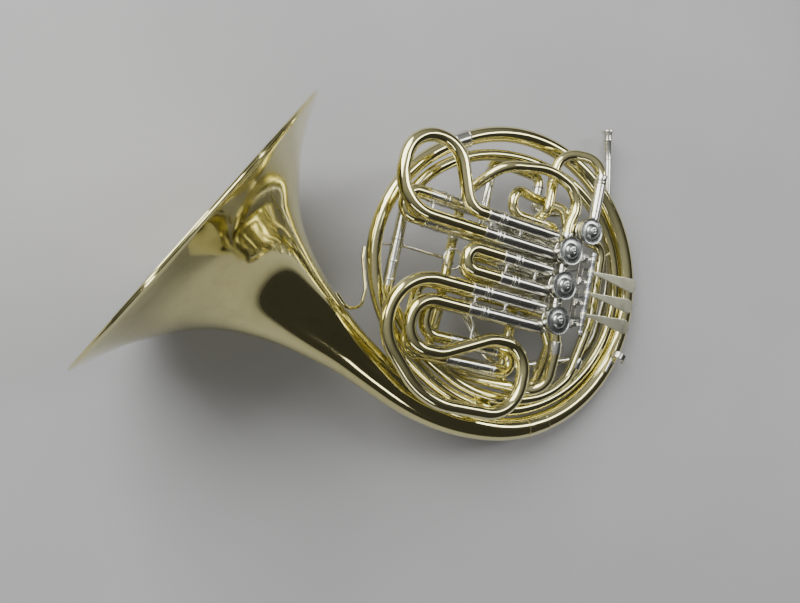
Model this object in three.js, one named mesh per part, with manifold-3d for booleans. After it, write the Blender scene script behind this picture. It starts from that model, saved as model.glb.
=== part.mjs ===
// Double french horn, resting on its bell rim and its leadpipe.
//
// Body frame (millimetres): X to the player's right along the wrap, Y up the wrap, Z towards the
// valve caps; its origin is the centre of the big tubing circle. Straight slide legs and the valve
// row share a turned frame (a, b): a runs along the slide legs, b up the valve row, and their origin
// is the axis of the second valve. At the end the whole horn is tipped onto its resting points.
import * as THREE from "three";
import { mergeVertices } from "three/addons/utils/BufferGeometryUtils.js";
import Module from "manifold-3d";

const wasm = await Module();
wasm.setup();

// ---- Driving dimensions --------------------------------------------------------------------
const CLEAR = 0.3; // gap between neighbouring pieces
const BELL_RIM_R = 149;
const BELL_WALL = 1.0;
const BELL_SIDES = 26; // facets round the bell, with a flat one at its lowest point
const LOOP_R = 152; // centre line of the outer tubing circle
const VALVE_PITCH = 35.3;
const VALVE_ROW_ANGLE = THREE.MathUtils.degToRad(-13);
const VALVE_2 = new THREE.Vector2(29.7, -5);
const THUMB_VALVE = [20.5, 61]; // (a, b) of the change valve
const Z_F = 34; // height of the F tubing level
const Z_B = 15; // height of the B flat tubing level
const SLEEVE_R = 6.85;
const SLEEVE_BORE_R = 5.95;
const LEG_R = 5.5;
const CROOK_R = 6.5;
const TUBE_R = 5.6;
const FERRULE_STEP = 0.6;
const RING_LENGTH = 2.4; // raised ring on a sleeve or a riser
const CASING_R = 13.2;
const CASING_BORE_R = 11.4;
const CASING_Z = [-3, 44];
const ROTOR_R = 10.9;
const STEM_R = 2.6;
const CAP_R = 14.2;
const THUMB_CAP_R = 13.4;
const AXLE_A = 32.5;
const AXLE_Z = 42;
const AXLE_R = 1.9;
const HUB_R = 3; // lever hubs and the lugs that carry their axle
const HUB_BORE_R = 2.3;
const LEVER_B = [22, 0, -22];
const REST_TILT_Y = 15.2298; // degrees that the horn leans about Y, then about X, when it lies down
const REST_TILT_X = 5.272;

const SIDES = 8; // facets round a tube
const VALVE_SIDES = 16; // facets round a valve
const BEND_STEP = THREE.MathUtils.degToRad(30);
const WIRE_SIDES = 6;
const PIN_SIDES = 12;

// ---- Materials -----------------------------------------------------------------------------
const finish = (color, roughness) =>
  new THREE.MeshStandardMaterial({ color, roughness, metalness: 1 });
const BRASS = finish(0xc9a94f, 0.16);
const NICKEL = finish(0xb9b8ae, 0.24);
const PALE_BRASS = finish(0xbdb58c, 0.38);
const STEEL = finish(0x9a9b9c, 0.35);

// ---- Frames and paths ----------------------------------------------------------------------
const uAxis = new THREE.Vector3(Math.cos(VALVE_ROW_ANGLE), Math.sin(VALVE_ROW_ANGLE), 0);
const vAxis = new THREE.Vector3(-uAxis.y, uAxis.x, 0);
const zAxis = new THREE.Vector3(0, 0, 1);

// A point of the (a, b) frame at height z, as a body-frame vector.
function at(a, b, z) {
  return new THREE.Vector3(VALVE_2.x, VALVE_2.y, z).addScaledVector(uAxis, a).addScaledVector(vAxis, b);
}

const xyz = (x, y, z) => new THREE.Vector3(x, y, z);

// A polyline whose corners are rounded: each corner is [point, bend radius]; the first and last
// have no radius. The result is a list of points, close together in the bends.
function rounded(corners) {
  const points = [corners[0][0].clone()];
  for (let i = 1; i < corners.length - 1; i++) {
    const [corner, radius] = corners[i];
    const before = corners[i - 1][0].clone().sub(corner).normalize();
    const after = corners[i + 1][0].clone().sub(corner).normalize();
    const turn = Math.PI - before.angleTo(after);
    if (turn < 0.01) continue;
    const tangent = radius * Math.tan(turn / 2);
    const centre = before.clone().add(after).normalize()
      .multiplyScalar(radius / Math.cos(turn / 2)).add(corner);
    const start = corner.clone().addScaledVector(before, tangent).sub(centre);
    const axis = before.clone().cross(after).normalize();
    const steps = Math.max(1, Math.round(turn / BEND_STEP));
    for (let k = 0; k <= steps; k++)
      points.push(start.clone().applyAxisAngle(axis, -turn * (k / steps)).add(centre));
  }
  points.push(corners[corners.length - 1][0].clone());
  return points;
}

// Points round the body's centre from stations [angle in degrees, distance, height]: the distance
// and height follow a smooth curve through the stations.
function around(stations, step) {
  const curve = new THREE.CatmullRomCurve3(
    stations.map(([angle, r, z]) => xyz(angle / 50, r / 50, z / 50)), false, "catmullrom", 0.5);
  const span = stations[stations.length - 1][0] - stations[0][0];
  const count = Math.round(Math.abs(span) / step);
  return Array.from({ length: count + 1 }, (_, i) => {
    const p = curve.getPoint(i / count);
    const angle = THREE.MathUtils.degToRad(p.x * 50);
    return xyz(p.y * 50 * Math.cos(angle), p.y * 50 * Math.sin(angle), p.z * 50);
  });
}

// Distance along a list of points, one value for each point.
function lengths(points) {
  const out = [0];
  for (let i = 1; i < points.length; i++) out.push(out[i - 1] + points[i].distanceTo(points[i - 1]));
  return out;
}

// ---- Solids --------------------------------------------------------------------------------
function solid(geometry) {
  const plain = new THREE.BufferGeometry().setAttribute("position", geometry.getAttribute("position"));
  if (geometry.index) plain.setIndex(geometry.index);
  const merged = mergeVertices(plain, 1e-4);
  return new wasm.Manifold(new wasm.Mesh({
    numProp: 3,
    vertProperties: new Float32Array(merged.attributes.position.array),
    triVerts: new Uint32Array(merged.index.array),
  }));
}

const join = (...parts) => parts.flat().reduce((a, b) => a.add(b));
const cut = (body, ...tools) => tools.flat().reduce((a, b) => a.subtract(b), body);

// A round bar along points. radii is one number or one for each point; the ends are closed.
function bar(points, radii, sides = SIDES) {
  const rings = points.length;
  const position = [];
  const index = [];
  const tangent = (i) => points[Math.min(i + 1, rings - 1)].clone()
    .sub(points[Math.max(i - 1, 0)]).normalize();
  const first = tangent(0);
  let side = first.clone().cross(Math.abs(first.z) > 0.9 ? xyz(0, 1, 0) : zAxis).normalize();
  for (let i = 0; i < rings; i++) {
    const t = tangent(i);
    side = side.addScaledVector(t, -side.dot(t)).normalize();
    const up = side.clone().cross(t);
    const r = Array.isArray(radii) ? radii[i] : radii;
    for (let k = 0; k < sides; k++) {
      const angle = (2 * Math.PI * k) / sides;
      const p = points[i].clone().addScaledVector(side, r * Math.cos(angle))
        .addScaledVector(up, r * Math.sin(angle));
      position.push(p.x, p.y, p.z);
    }
  }
  for (let i = 0; i < rings - 1; i++)
    for (let k = 0; k < sides; k++) {
      const p = i * sides + k;
      const q = i * sides + ((k + 1) % sides);
      index.push(p, p + sides, q, q, p + sides, q + sides);
    }
  const base = position.length / 3;
  for (const p of [points[0], points[rings - 1]]) position.push(p.x, p.y, p.z);
  for (let k = 0; k < sides; k++) {
    const next = (k + 1) % sides;
    const end = (rings - 1) * sides;
    index.push(base, k, next, base + 1, end + next, end + k);
  }
  return new wasm.Manifold(new wasm.Mesh({
    numProp: 3, vertProperties: new Float32Array(position), triVerts: new Uint32Array(index) }));
}

const rod = (from, to, r, sides = SIDES) => bar([from, to], r, sides);

// A raised ring round a straight stretch of tube.
function collar(centre, direction, r, length, sides = SIDES) {
  const half = direction.clone().normalize().multiplyScalar(length / 2);
  return rod(centre.clone().sub(half), centre.clone().add(half), r, sides);
}

// An upright turned piece: profile is a list of [radius, height] from the axis to the axis.
function turned(profile, centre, sides) {
  const lathe = new THREE.LatheGeometry(profile.map(([r, z]) => new THREE.Vector2(r, z)), sides);
  lathe.rotateX(Math.PI / 2);
  lathe.translate(centre.x, centre.y, 0);
  return solid(lathe);
}

// An upright prism of an outline given in (a, b), between two heights.
function plate(outline, zLow, zHigh) {
  const shape = new THREE.Shape(outline.map(([a, b]) => {
    const p = at(a, b, 0);
    return new THREE.Vector2(p.x, p.y);
  }));
  const body = new THREE.ExtrudeGeometry(shape, { depth: zHigh - zLow, bevelEnabled: false });
  body.translate(0, 0, zLow);
  return solid(body);
}

const rectangle = (a0, a1, b0, b1) => [[a0, b0], [a1, b0], [a1, b1], [a0, b1]];

// A hollow shell along points: rings of outer radii, then rings of inner radii.
function shell(points, outer, inner, sides) {
  const outside = bar(points, outer, sides);
  const before = points[0].clone().sub(points[1]).normalize();
  const last = points.length - 1;
  const after = points[last].clone().sub(points[last - 1]).normalize();
  const core = [points[0].clone().add(before), ...points, points[last].clone().add(after)];
  return cut(outside, bar(core, [inner[0], ...inner, inner[last]], sides));
}

// A straight hollow sleeve with a raised ring at its mouth (from), where a slide leg goes in.
function sleeve(from, to, outerR, boreR) {
  const direction = to.clone().sub(from).normalize();
  const along = (point, distance) => point.clone().addScaledVector(direction, distance);
  const body = join(rod(from, to, outerR), rod(from, along(from, RING_LENGTH), outerR + FERRULE_STEP));
  const core = rod(along(from, -1), along(to, 1), boreR);
  return cut(body, core);
}

// ---- Scene ---------------------------------------------------------------------------------
const horn = new THREE.Group();

function add(name, body, material) {
  const made = body.getMesh();
  const count = made.numProp;
  const position = new Float32Array(made.numVert * 3);
  for (let i = 0; i < made.numVert; i++)
    position.set(made.vertProperties.subarray(i * count, i * count + 3), i * 3);
  const geometry = new THREE.BufferGeometry()
    .setAttribute("position", new THREE.BufferAttribute(position, 3))
    .setIndex(new THREE.BufferAttribute(made.triVerts, 1));
  geometry.computeVertexNormals();
  const mesh = new THREE.Mesh(geometry, material);
  mesh.name = name;
  horn.add(mesh);
}

const VALVES = [
  ["1", [0, VALVE_PITCH]],
  ["2", [0, 0]],
  ["3", [0, -VALVE_PITCH]],
  ["thumb", THUMB_VALVE],
];
const casingSpace = VALVES.map(([, [a, b]]) =>
  rod(at(a, b, CASING_Z[0] - 6), at(a, b, CASING_Z[1] + 6), CASING_R + CLEAR, VALVE_SIDES));

// ---- Bell and body tubing ------------------------------------------------------------------
// The bell's axis lies in the XY plane: straight, then a wide bend, then the loop circle.
const BELL_RIM = xyz(-313.2, 43.3, 0);
const BELL_HEADING = THREE.MathUtils.degToRad(-39.15);
const BELL_JOIN_TURN = THREE.MathUtils.degToRad(30);
const BELL_TAIL_ANGLE = THREE.MathUtils.degToRad(-82.1);
const BELL_RADII = [[0, BELL_RIM_R], [2, 148.2], [6, 140.4], [12.5, 125.6], [22, 107.8], [35, 90.2],
  [50, 72.8], [68, 57.8], [90, 46], [115, 36.3], [145, 28.4], [180, 21.8], [215, 18.8], [250, 16.3],
  [300, 14], [350, 12.2], [400, 11]];

function bellRadius(s) {
  const i = Math.min(BELL_RADII.findIndex(([t], k) => k > 0 && s <= t + 1e-6), BELL_RADII.length - 1);
  const [s1, r1] = BELL_RADII[i < 1 ? BELL_RADII.length - 1 : i];
  const [s0, r0] = BELL_RADII[(i < 1 ? BELL_RADII.length - 1 : i) - 1];
  return r0 + ((r1 - r0) * (s - s0)) / (s1 - s0);
}

// The bell's centre line: its distance from the loop's centre fixes the wide bend's radius.
function bellLine() {
  const d = xyz(Math.cos(BELL_HEADING), Math.sin(BELL_HEADING), 0);
  const n = xyz(-d.y, d.x, 0);
  const offset = -BELL_RIM.dot(n);
  const foot = -BELL_RIM.dot(d);
  const turnCos = Math.cos(BELL_JOIN_TURN);
  const wideR = (offset - LOOP_R * turnCos) / (1 - turnCos);
  const straight = foot - (wideR - LOOP_R) * Math.sin(BELL_JOIN_TURN);
  const points = BELL_RADII.map(([s]) => s).filter((s) => s < straight - 8)
    .map((s) => BELL_RIM.clone().addScaledVector(d, s));
  const wideCentre = BELL_RIM.clone().addScaledVector(d, straight).addScaledVector(n, wideR);
  const wideSteps = 5;
  for (let k = 0; k <= wideSteps; k++) {
    const h = BELL_HEADING - Math.PI / 2 + (BELL_JOIN_TURN * k) / wideSteps;
    points.push(xyz(wideCentre.x + wideR * Math.cos(h), wideCentre.y + wideR * Math.sin(h), 0));
  }
  const joinAngle = BELL_HEADING - Math.PI / 2 + BELL_JOIN_TURN;
  for (let k = 1; k <= 2; k++) {
    const h = joinAngle + ((BELL_TAIL_ANGLE - joinAngle) * k) / 2;
    points.push(xyz(LOOP_R * Math.cos(h), LOOP_R * Math.sin(h), 0));
  }
  return points;
}

const bellPoints = bellLine();
const bellOuter = lengths(bellPoints).map(bellRadius);
add("bell", shell(bellPoints, bellOuter, bellOuter.map((r) => r - BELL_WALL), BELL_SIDES), BRASS);

// Big tapered loop in three pieces: stations are [angle, distance, height], radii at both ends.
function branch(stations, r0, r1, step, ringR = 1) {
  const points = around(stations, step);
  const far = lengths(points);
  const total = far[far.length - 1];
  const radii = far.map((s) => r0 + ((r1 - r0) * s) / total);
  const body = bar(points, radii);
  const start = points[0];
  const direction = points[1].clone().sub(start);
  const ring = collar(start.clone().addScaledVector(direction.normalize(), 3), direction, r0 + ringR, 5);
  return join(body, ring);
}

const FIRST_FERRULE = -81.1;
const SECOND_FERRULE = 113;
const THIRD_FERRULE = 252;
add("first_branch", branch([[FIRST_FERRULE, LOOP_R, 0], [0, LOOP_R, 0], [SECOND_FERRULE - 0.8, LOOP_R, 0]],
  10.7, 7.8, 12), BRASS);
add("second_branch", branch([[SECOND_FERRULE, LOOP_R, 0], [122, 153.4, 0], [131, 155.6, 0], [145, 158, 0],
  [157, 158.5, 0], [168, 157, 0], [180, 153, 0], [188, 149.8, 0], [197, 146, 0], [210, 140.5, 0],
  [225, 135.5, 0], [THIRD_FERRULE - 1.3, 132.6, 0]], 7.6, 6.6, 11), BRASS);
const LEFT_RISER_TOP = at(-163, 40, -6);
const innerLoop = around([[THIRD_FERRULE, 132.5, 0], [290, 132.5, 0], [340, 134.8, 0], [380, 135.2, 0],
  [410, 131.5, 0], [430, 128, 0], [450, 129, 0], [472, 134.5, 0], [490, 140.2, -1], [501, 142, -3]], 13);
const innerLoopPoints = [...innerLoop, at(-162, 52, -5.5), at(-163, 46, -6), LEFT_RISER_TOP];
const topBrace = rod(xyz(-50, 124, 0), xyz(-54.6, 131.9, 0), 1.4, 6);
add("inner_branch", join(bar(innerLoopPoints, lengths(innerLoopPoints).map((s) => 6.5 - s / 800)),
  collar(at(-162.6, 42.2, -6), vAxis, 6.4, 3.6), topBrace), BRASS);

// ---- Mouthpipe and the feed of the main slide ----------------------------------------------
const PIPE_Z = -17;
const RECEIVER_TOP = xyz(142.3, 176, PIPE_Z);
const MAIN_SLIDE_Z = -14;
const MAIN_LEG_A = [-72.5, -12];
const MAIN_BOW_B = 119;
const RECEIVER_LENGTH = 33.5;
const leadpipe = rounded([
  [xyz(RECEIVER_TOP.x, RECEIVER_TOP.y - RECEIVER_LENGTH - CLEAR, PIPE_Z)],
  [xyz(140.5, -6, PIPE_Z), 110],
  [xyz(112, -84, PIPE_Z), 46],
  [xyz(-14, -92, PIPE_Z), 36],
  [at(MAIN_LEG_A[0], -42, -15), 26],
  [at(MAIN_LEG_A[0], 64, MAIN_SLIDE_Z)],
]);
const pipeLengths = lengths(leadpipe);
add("leadpipe", bar(leadpipe, pipeLengths.map((s) => 3.9 + Math.min(1, s / 360) * 1.3)), NICKEL);
const receiverShell = turned([[0, 0], [4.3, 0], [4.3, 21.4], [5.4, 21.9], [5.4, 23.4], [4.8, 23.9],
  [5.7, 31.2], [6.8, 31.7], [6.8, RECEIVER_LENGTH], [0, RECEIVER_LENGTH]], xyz(0, 0, 0), VALVE_SIDES);
const receiverBore = turned([[0, 6], [2.9, 6], [4.4, RECEIVER_LENGTH + 1], [0, RECEIVER_LENGTH + 1]],
  xyz(0, 0, 0), VALVE_SIDES);
add("mouthpiece_receiver", cut(receiverShell, receiverBore).rotate([-90, 0, 0])
  .translate([RECEIVER_TOP.x, RECEIVER_TOP.y - RECEIVER_LENGTH, PIPE_Z]), NICKEL);

const SLIM = { outer: 5.7, bore: 4.85, leg: 4.4, crook: 5.4 };
const mainMouthB = 109;
add("main_slide_sleeve_left",
  sleeve(at(MAIN_LEG_A[0], mainMouthB, MAIN_SLIDE_Z), at(MAIN_LEG_A[0], 64 + CLEAR, MAIN_SLIDE_Z),
    SLIM.outer, SLIM.bore), NICKEL);
const mainRight = sleeve(at(MAIN_LEG_A[1], mainMouthB, MAIN_SLIDE_Z), at(MAIN_LEG_A[1], 92, MAIN_SLIDE_Z),
  SLIM.outer, SLIM.bore);
const mainInlet = bar(rounded([
  [at(MAIN_LEG_A[1], 92.2, MAIN_SLIDE_Z)],
  [at(MAIN_LEG_A[1], 80, MAIN_SLIDE_Z), 10],
  [at(21, 86, 10), 9],
  [at(24, 70, 15)],
]), 5.2);
add("main_slide_inlet", cut(join(mainRight, mainInlet), casingSpace[3]), NICKEL);
const mainBow = (radius) => bar(rounded([
  [at(MAIN_LEG_A[0], mainMouthB + CLEAR, MAIN_SLIDE_Z)],
  [at(MAIN_LEG_A[0], MAIN_BOW_B, MAIN_SLIDE_Z), 8],
  [at(MAIN_LEG_A[1], MAIN_BOW_B, MAIN_SLIDE_Z), 8],
  [at(MAIN_LEG_A[1], mainMouthB + CLEAR, MAIN_SLIDE_Z)],
]), radius);
const mainLeg = (a, length) =>
  rod(at(a, mainMouthB + 1, MAIN_SLIDE_Z), at(a, mainMouthB - length, MAIN_SLIDE_Z), SLIM.leg);
add("main_tuning_slide",
  join(mainBow(SLIM.crook), mainLeg(MAIN_LEG_A[0], 38), mainLeg(MAIN_LEG_A[1], 15)), BRASS);

// ---- Return tubes --------------------------------------------------------------------------
// F side: from the third valve round the bottom, up to the left riser, over the arch to valve 1.
const F_RISER_A = -105;
const fReturn = rounded([
  [at(8, -41, Z_F)],
  [at(13, -62, Z_F), 25],
  [at(17, -107, 24), 20],
  [at(-15, -108, 13), 30],
  [at(-48, -108, -14), 30],
  [at(F_RISER_A, -100, -14), 20],
  [at(F_RISER_A, -50, -6), 30],
  [at(F_RISER_A, -16, -6)],
]);
const fSleeve = rod(at(F_RISER_A, -16.5, -6), at(F_RISER_A, 26, -6), 5.3);
const fRings = [-15, 0, 24].map((b) => collar(at(F_RISER_A, b, -6), vAxis, 6, RING_LENGTH));
const riserBrace = rod(at(-156.2, 3.5, -6), at(F_RISER_A, 3.5, -6), 1.4, 6);
add("f_return_tube", cut(join(bar(fReturn, TUBE_R), fSleeve, fRings, riserBrace), casingSpace[2]), BRASS);
const fArch = rounded([
  [at(1.4, 41, Z_F)],
  [at(1.4, 65.5, Z_F), 30],
  [at(12.2, 97.5, Z_F), 24],
  [at(-34, 112, Z_F), 55],
  [at(-84, 101, 29), 34],
  [at(F_RISER_A, 72, 2), 20],
  [at(F_RISER_A, 38, -6), 18],
  [at(F_RISER_A, 26 + CLEAR, -6)],
]);
const archCollar = collar(at(1.4, 52, Z_F), vAxis, 6.2, 5);
add("f_return_arch", cut(join(bar(fArch, 5.4), archCollar), casingSpace[0]), BRASS);

// B flat side: from the third valve round the inner bottom and straight up to the upper slide.
const B_LEG_A = -14.5;
const B_LEG_Z = 15.5;
const bLegMouthB = 108;
const bReturn = rounded([
  [at(8, -40, Z_B)],
  [at(20, -58, 13), 14],
  [at(20, -113, -3), 20],
  [at(-21, -113, -3), 20],
  [at(-21, 62, -3), 12],
  [at(B_LEG_A, 77, B_LEG_Z), 10],
  [at(B_LEG_A, 88, B_LEG_Z)],
]);
const bLegSleeve = sleeve(at(B_LEG_A, bLegMouthB, B_LEG_Z), at(B_LEG_A, 88.2 - CLEAR, B_LEG_Z),
  SLIM.outer, SLIM.bore);
add("b_return_tube", cut(join(bar(bReturn, TUBE_R), bLegSleeve), casingSpace[2]), BRASS);
const THUMB_LEG_A = 30.5;
const thumbMouthB = 118;
const thumbSleeve = sleeve(at(THUMB_LEG_A, thumbMouthB, Z_F), at(THUMB_LEG_A, 86, Z_F),
  SLIM.outer, SLIM.bore);
const thumbElbow = bar(rounded([
  [at(THUMB_LEG_A, 86.2, Z_F)], [at(THUMB_LEG_A, 78, Z_F), 8], [at(22, 66, Z_F)]]), 5.4);
add("b_tuning_sleeve", cut(join(thumbSleeve, thumbElbow), casingSpace[3]), NICKEL);
const bTuning = join(
  bar(rounded([
    [at(THUMB_LEG_A, thumbMouthB + CLEAR, Z_F)],
    [at(THUMB_LEG_A, 141.5, Z_F), 21],
    [at(B_LEG_A, 141.5, B_LEG_Z), 21],
    [at(B_LEG_A, bLegMouthB + CLEAR, B_LEG_Z)],
  ]), SLIM.crook),
  rod(at(THUMB_LEG_A, thumbMouthB + 1, Z_F), at(THUMB_LEG_A, thumbMouthB - 30, Z_F), SLIM.leg),
  rod(at(B_LEG_A, 109, B_LEG_Z), at(B_LEG_A, 90, B_LEG_Z), SLIM.leg));
add("b_tuning_slide", bTuning, BRASS);

// The curl that carries the B flat side from the thumb valve to valve 1.
const curl = rounded([
  [at(13, 66, Z_B)],
  [at(6, 84, Z_B), 9],
  [at(-14, 89, 3), 14],
  [at(-28, 89, 5), 20],
  [at(-58, 88, Z_B), 12],
  [at(-57, 62, Z_B), 13],
  [at(0, 62, Z_B), 8],
  [at(0, 44, Z_B)],
]);
add("b_feed_curl", cut(join(bar(curl, 5.2), collar(at(-33, 62, Z_B), uAxis, 5.9, 3)),
  casingSpace[3], casingSpace[0]), BRASS);

// The bell's feed: from the thumb valve down the right, along the bottom and up to the left riser.
const feedDown = rounded([
  [at(26, 61, 10)],
  [at(67.5, 61, 10), 14],
  [at(70.5, -20, 10), 120],
  [at(56.5, -77, 10)],
]);
const feedAlong = around([[301, 118.5, 10], [290, 121, 10], [280, 121.5, 10], [266, 120.5, 8],
  [250, 119.8, 1], [238, 119.8, -2], [225, 121, -2], [210, 126, -2], [197, 131, -3], [189, 135.5, -5]], 13);
const bellFeed = [...feedDown, ...feedAlong, at(-163, -42, -6), at(-163, 40 - CLEAR, -6)];
const riserRings = [-32, -14, 8].map((b) => collar(at(-163, b, -6), vAxis, 6.3, RING_LENGTH));
const feedBraces = [
  rod(at(-163, 3, -6), xyz(-143.8, 33.8, -2), 1.3, 6),
  rod(at(68, 44, 10), xyz(124.5, 32, 3.5), 1.5, 6),
];
add("bell_feed", cut(join(bar(bellFeed, TUBE_R), riserRings, collar(at(60.5, -72, 10), vAxis, 6.4, 5),
  feedBraces), casingSpace[3]), BRASS);

// ---- Valve slides --------------------------------------------------------------------------
// Each slide: the a of its sleeve mouths, the b of its two legs, its height, how far its legs go in,
// and the corners of its crook between the legs.
const pair = (a, [b0, b1], z, pull) => ({ a, b: [b0, b1], z, pull });
const SLIDES = [
  {
    name: "f1", ...pair(-80, [47.5, 30], Z_F), legLength: 55, ends: [-6, -6], valve: 0, radius: CROOK_R,
    crook: [[-114.4, 47.5, 18], [-136.7, 103.5, 29], [-187.5, 103.5, 29], [-187.5, 30, 36]],
  },
  {
    name: "f2", ...pair(-54, [13, -8], Z_F), legLength: 34, ends: [-6, -6], valve: 1, radius: CROOK_R,
    crook: [[-106.5, 13, 10.3], [-106.5, -8, 10.3]],
  },
  {
    name: "f3", ...pair(-81, [-25.2, -44.5], Z_F), legLength: 55, ends: [-6, -6], valve: 2, radius: CROOK_R,
    crook: [[-173, -25.2, 42], [-173, -86, 45], [-122, -137, 72], [-20.5, -137, 34], [-20.5, -67, 28],
      [-62, -67, 38], [-113.5, -91, 30], [-151, -91, 22], [-151, -44.5, 22]],
  },
  {
    name: "b2", ...pair(-50, [10.5, -9.5], Z_B), legLength: 28, ends: [-6, -6], valve: 1, radius: CROOK_R,
    crook: [[-96.5, 10.5, 9.8], [-96.5, -9.5, 9.8]],
  },
];

function slideCrook({ a, b, z, crook, radius }) {
  const corners = crook.map(([ca, cb, r]) => [at(ca, cb, z), r]);
  return bar(rounded([[at(a - CLEAR, b[0], z)], ...corners, [at(a - CLEAR, b[1], z)]]), radius);
}

const slideLegs = ({ a, b, z, legLength }) =>
  b.map((leg) => rod(at(a - 3, leg, z), at(a + legLength, leg, z), LEG_R));

const slideFerrules = ({ a, b, z }) =>
  b.map((leg) => rod(at(a - CLEAR, leg, z), at(a - 15, leg, z), SLEEVE_R));

const cross = (a, b, z, inset = 3) =>
  rod(at(a, b[0] - inset, z), at(a, b[1] + inset, z), 1.6, 6);
const SLEEVE_INSET = 6.4; // a sleeve's brace starts in its wall

const pullRing = (centre, axisA, axisB, r, wire) => {
  const turns = Array.from({ length: 17 }, (_, i) => {
    const angle = (2 * Math.PI * i) / 16;
    return centre.clone().addScaledVector(axisA, r * Math.cos(angle))
      .addScaledVector(axisB, r * Math.sin(angle));
  });
  const half = bar(turns.slice(0, 9), wire, 6);
  return join(half, bar(turns.slice(8), wire, 6));
};

for (const slide of SLIDES) {
  const { name, a, b, z, ends, valve } = slide;
  const parts = [slideCrook(slide), ...slideLegs(slide), ...slideFerrules(slide), cross(a - 8, b, z)];
  if (name === "b2") parts.push(pullRing(at(-110, 1, z - 2), uAxis, vAxis, 9.6, 1.3));
  if (name === "f3")
    parts.push(bar(rounded([[at(-108, -44, z - 2)], [at(-84, -52, z - 2), 12], [at(-85, -84, z - 2), 12],
      [at(-108, -88, z - 2)]]), 1.5, WIRE_SIDES));
  add("slide_" + name, join(...parts), BRASS);
  const sleeves = b.map((leg, i) => sleeve(at(a, leg, z), at(ends[i], leg, z), SLEEVE_R, SLEEVE_BORE_R));
  const brace = cross(a + 26, b, z, SLEEVE_INSET);
  add("sleeves_" + name, cut(join(...sleeves, brace), casingSpace[valve]), NICKEL);
}

// First valve, B flat level: the upper sleeve steps in towards the valve.
const B1 = { a: -135, b: [53.5, 28.5], z: Z_B, legLength: 52, radius: CROOK_R,
  crook: [[-172, 53.5, 12.2], [-172, 28.5, 12.2]] };
add("slide_b1",
  join(slideCrook(B1), ...slideLegs(B1), ...slideFerrules(B1), cross(B1.a - 8, B1.b, B1.z)), BRASS);
const b1Upper = join(sleeve(at(B1.a, B1.b[0], Z_B), at(-78, B1.b[0], Z_B), SLEEVE_R, SLEEVE_BORE_R),
  bar(rounded([[at(-78.2, B1.b[0], Z_B)], [at(-70, B1.b[0], Z_B), 14], [at(-52, 44, Z_B), 14],
    [at(-9, 44, Z_B)]]), SLEEVE_R));
const b1Lower = sleeve(at(B1.a, B1.b[1], Z_B), at(-6, B1.b[1], Z_B), SLEEVE_R, SLEEVE_BORE_R);
add("sleeves_b1", cut(join(b1Upper, b1Lower, cross(-90, B1.b, Z_B, SLEEVE_INSET)), casingSpace[0]), NICKEL);

// Third valve, B flat level: two tubes go out to the left, turn back, and hold the sleeves of a
// slide that is pulled to the right.
const Z_B3 = 14;
const B3 = { a: -43, b: [-75.5, -95], z: Z_B3 };
const b3Tube = (legB, turnA, backB) => bar(rounded([
  [at(-98, legB, Z_B3)], [at(turnA, legB, Z_B3), 14], [at(turnA, backB, Z_B3), 12],
  [at(-40, backB, Z_B), 60], [at(-6, backB, Z_B)]]), TUBE_R + 0.4);
const b3Sleeves = B3.b.map((leg) =>
  sleeve(at(B3.a, leg, Z_B3), at(-98.2, leg, Z_B3), SLEEVE_R, SLEEVE_BORE_R));
add("sleeves_b3", cut(join(...b3Sleeves, b3Tube(B3.b[0], -127, -44), b3Tube(B3.b[1], -141.5, -26.5),
  cross(-88, B3.b, Z_B3, SLEEVE_INSET)), casingSpace[2]), NICKEL);
const b3Crook = bar(rounded([[at(B3.a + CLEAR, B3.b[0], Z_B3)], [at(-25, B3.b[0], Z_B3), 9.6],
  [at(-25, B3.b[1], Z_B3), 9.6], [at(B3.a + CLEAR, B3.b[1], Z_B3)]]), CROOK_R);
const b3Legs = B3.b.map((leg) => rod(at(B3.a + 2, leg, Z_B3), at(B3.a - 40, leg, Z_B3), LEG_R));
add("slide_b3", join(b3Crook, ...b3Legs), BRASS);

// ---- Valves --------------------------------------------------------------------------------
const knuckle = (a0, b0, a1, b1, z) => rod(at(a0, b0, z), at(a1, b1, z), 6, 8);
const knuckles = [
  [knuckle(3, VALVE_PITCH - 10, 3, 12, Z_F), knuckle(2, VALVE_PITCH - 10, 2, 12, Z_B)],
  [knuckle(3, -10, 3, 12 - VALVE_PITCH, Z_F), knuckle(2, -10, 2, 12 - VALVE_PITCH, Z_B)],
  [],
  [],
];
const ROTOR_Z = [0.5, 43.2];
const CAP_Z = CASING_Z[1] + CLEAR;
const capProfile = (r) => [[0, CAP_Z], [r, CAP_Z], [r, CAP_Z + 3.2], [r - 0.8, CAP_Z + 4], [7.2, CAP_Z + 3.4],
  [6.4, CAP_Z + 5.4], [3.4, CAP_Z + 6.8], [1.6, CAP_Z + 7], [1.3, CAP_Z + 8.8], [0, CAP_Z + 8.8]];

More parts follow.
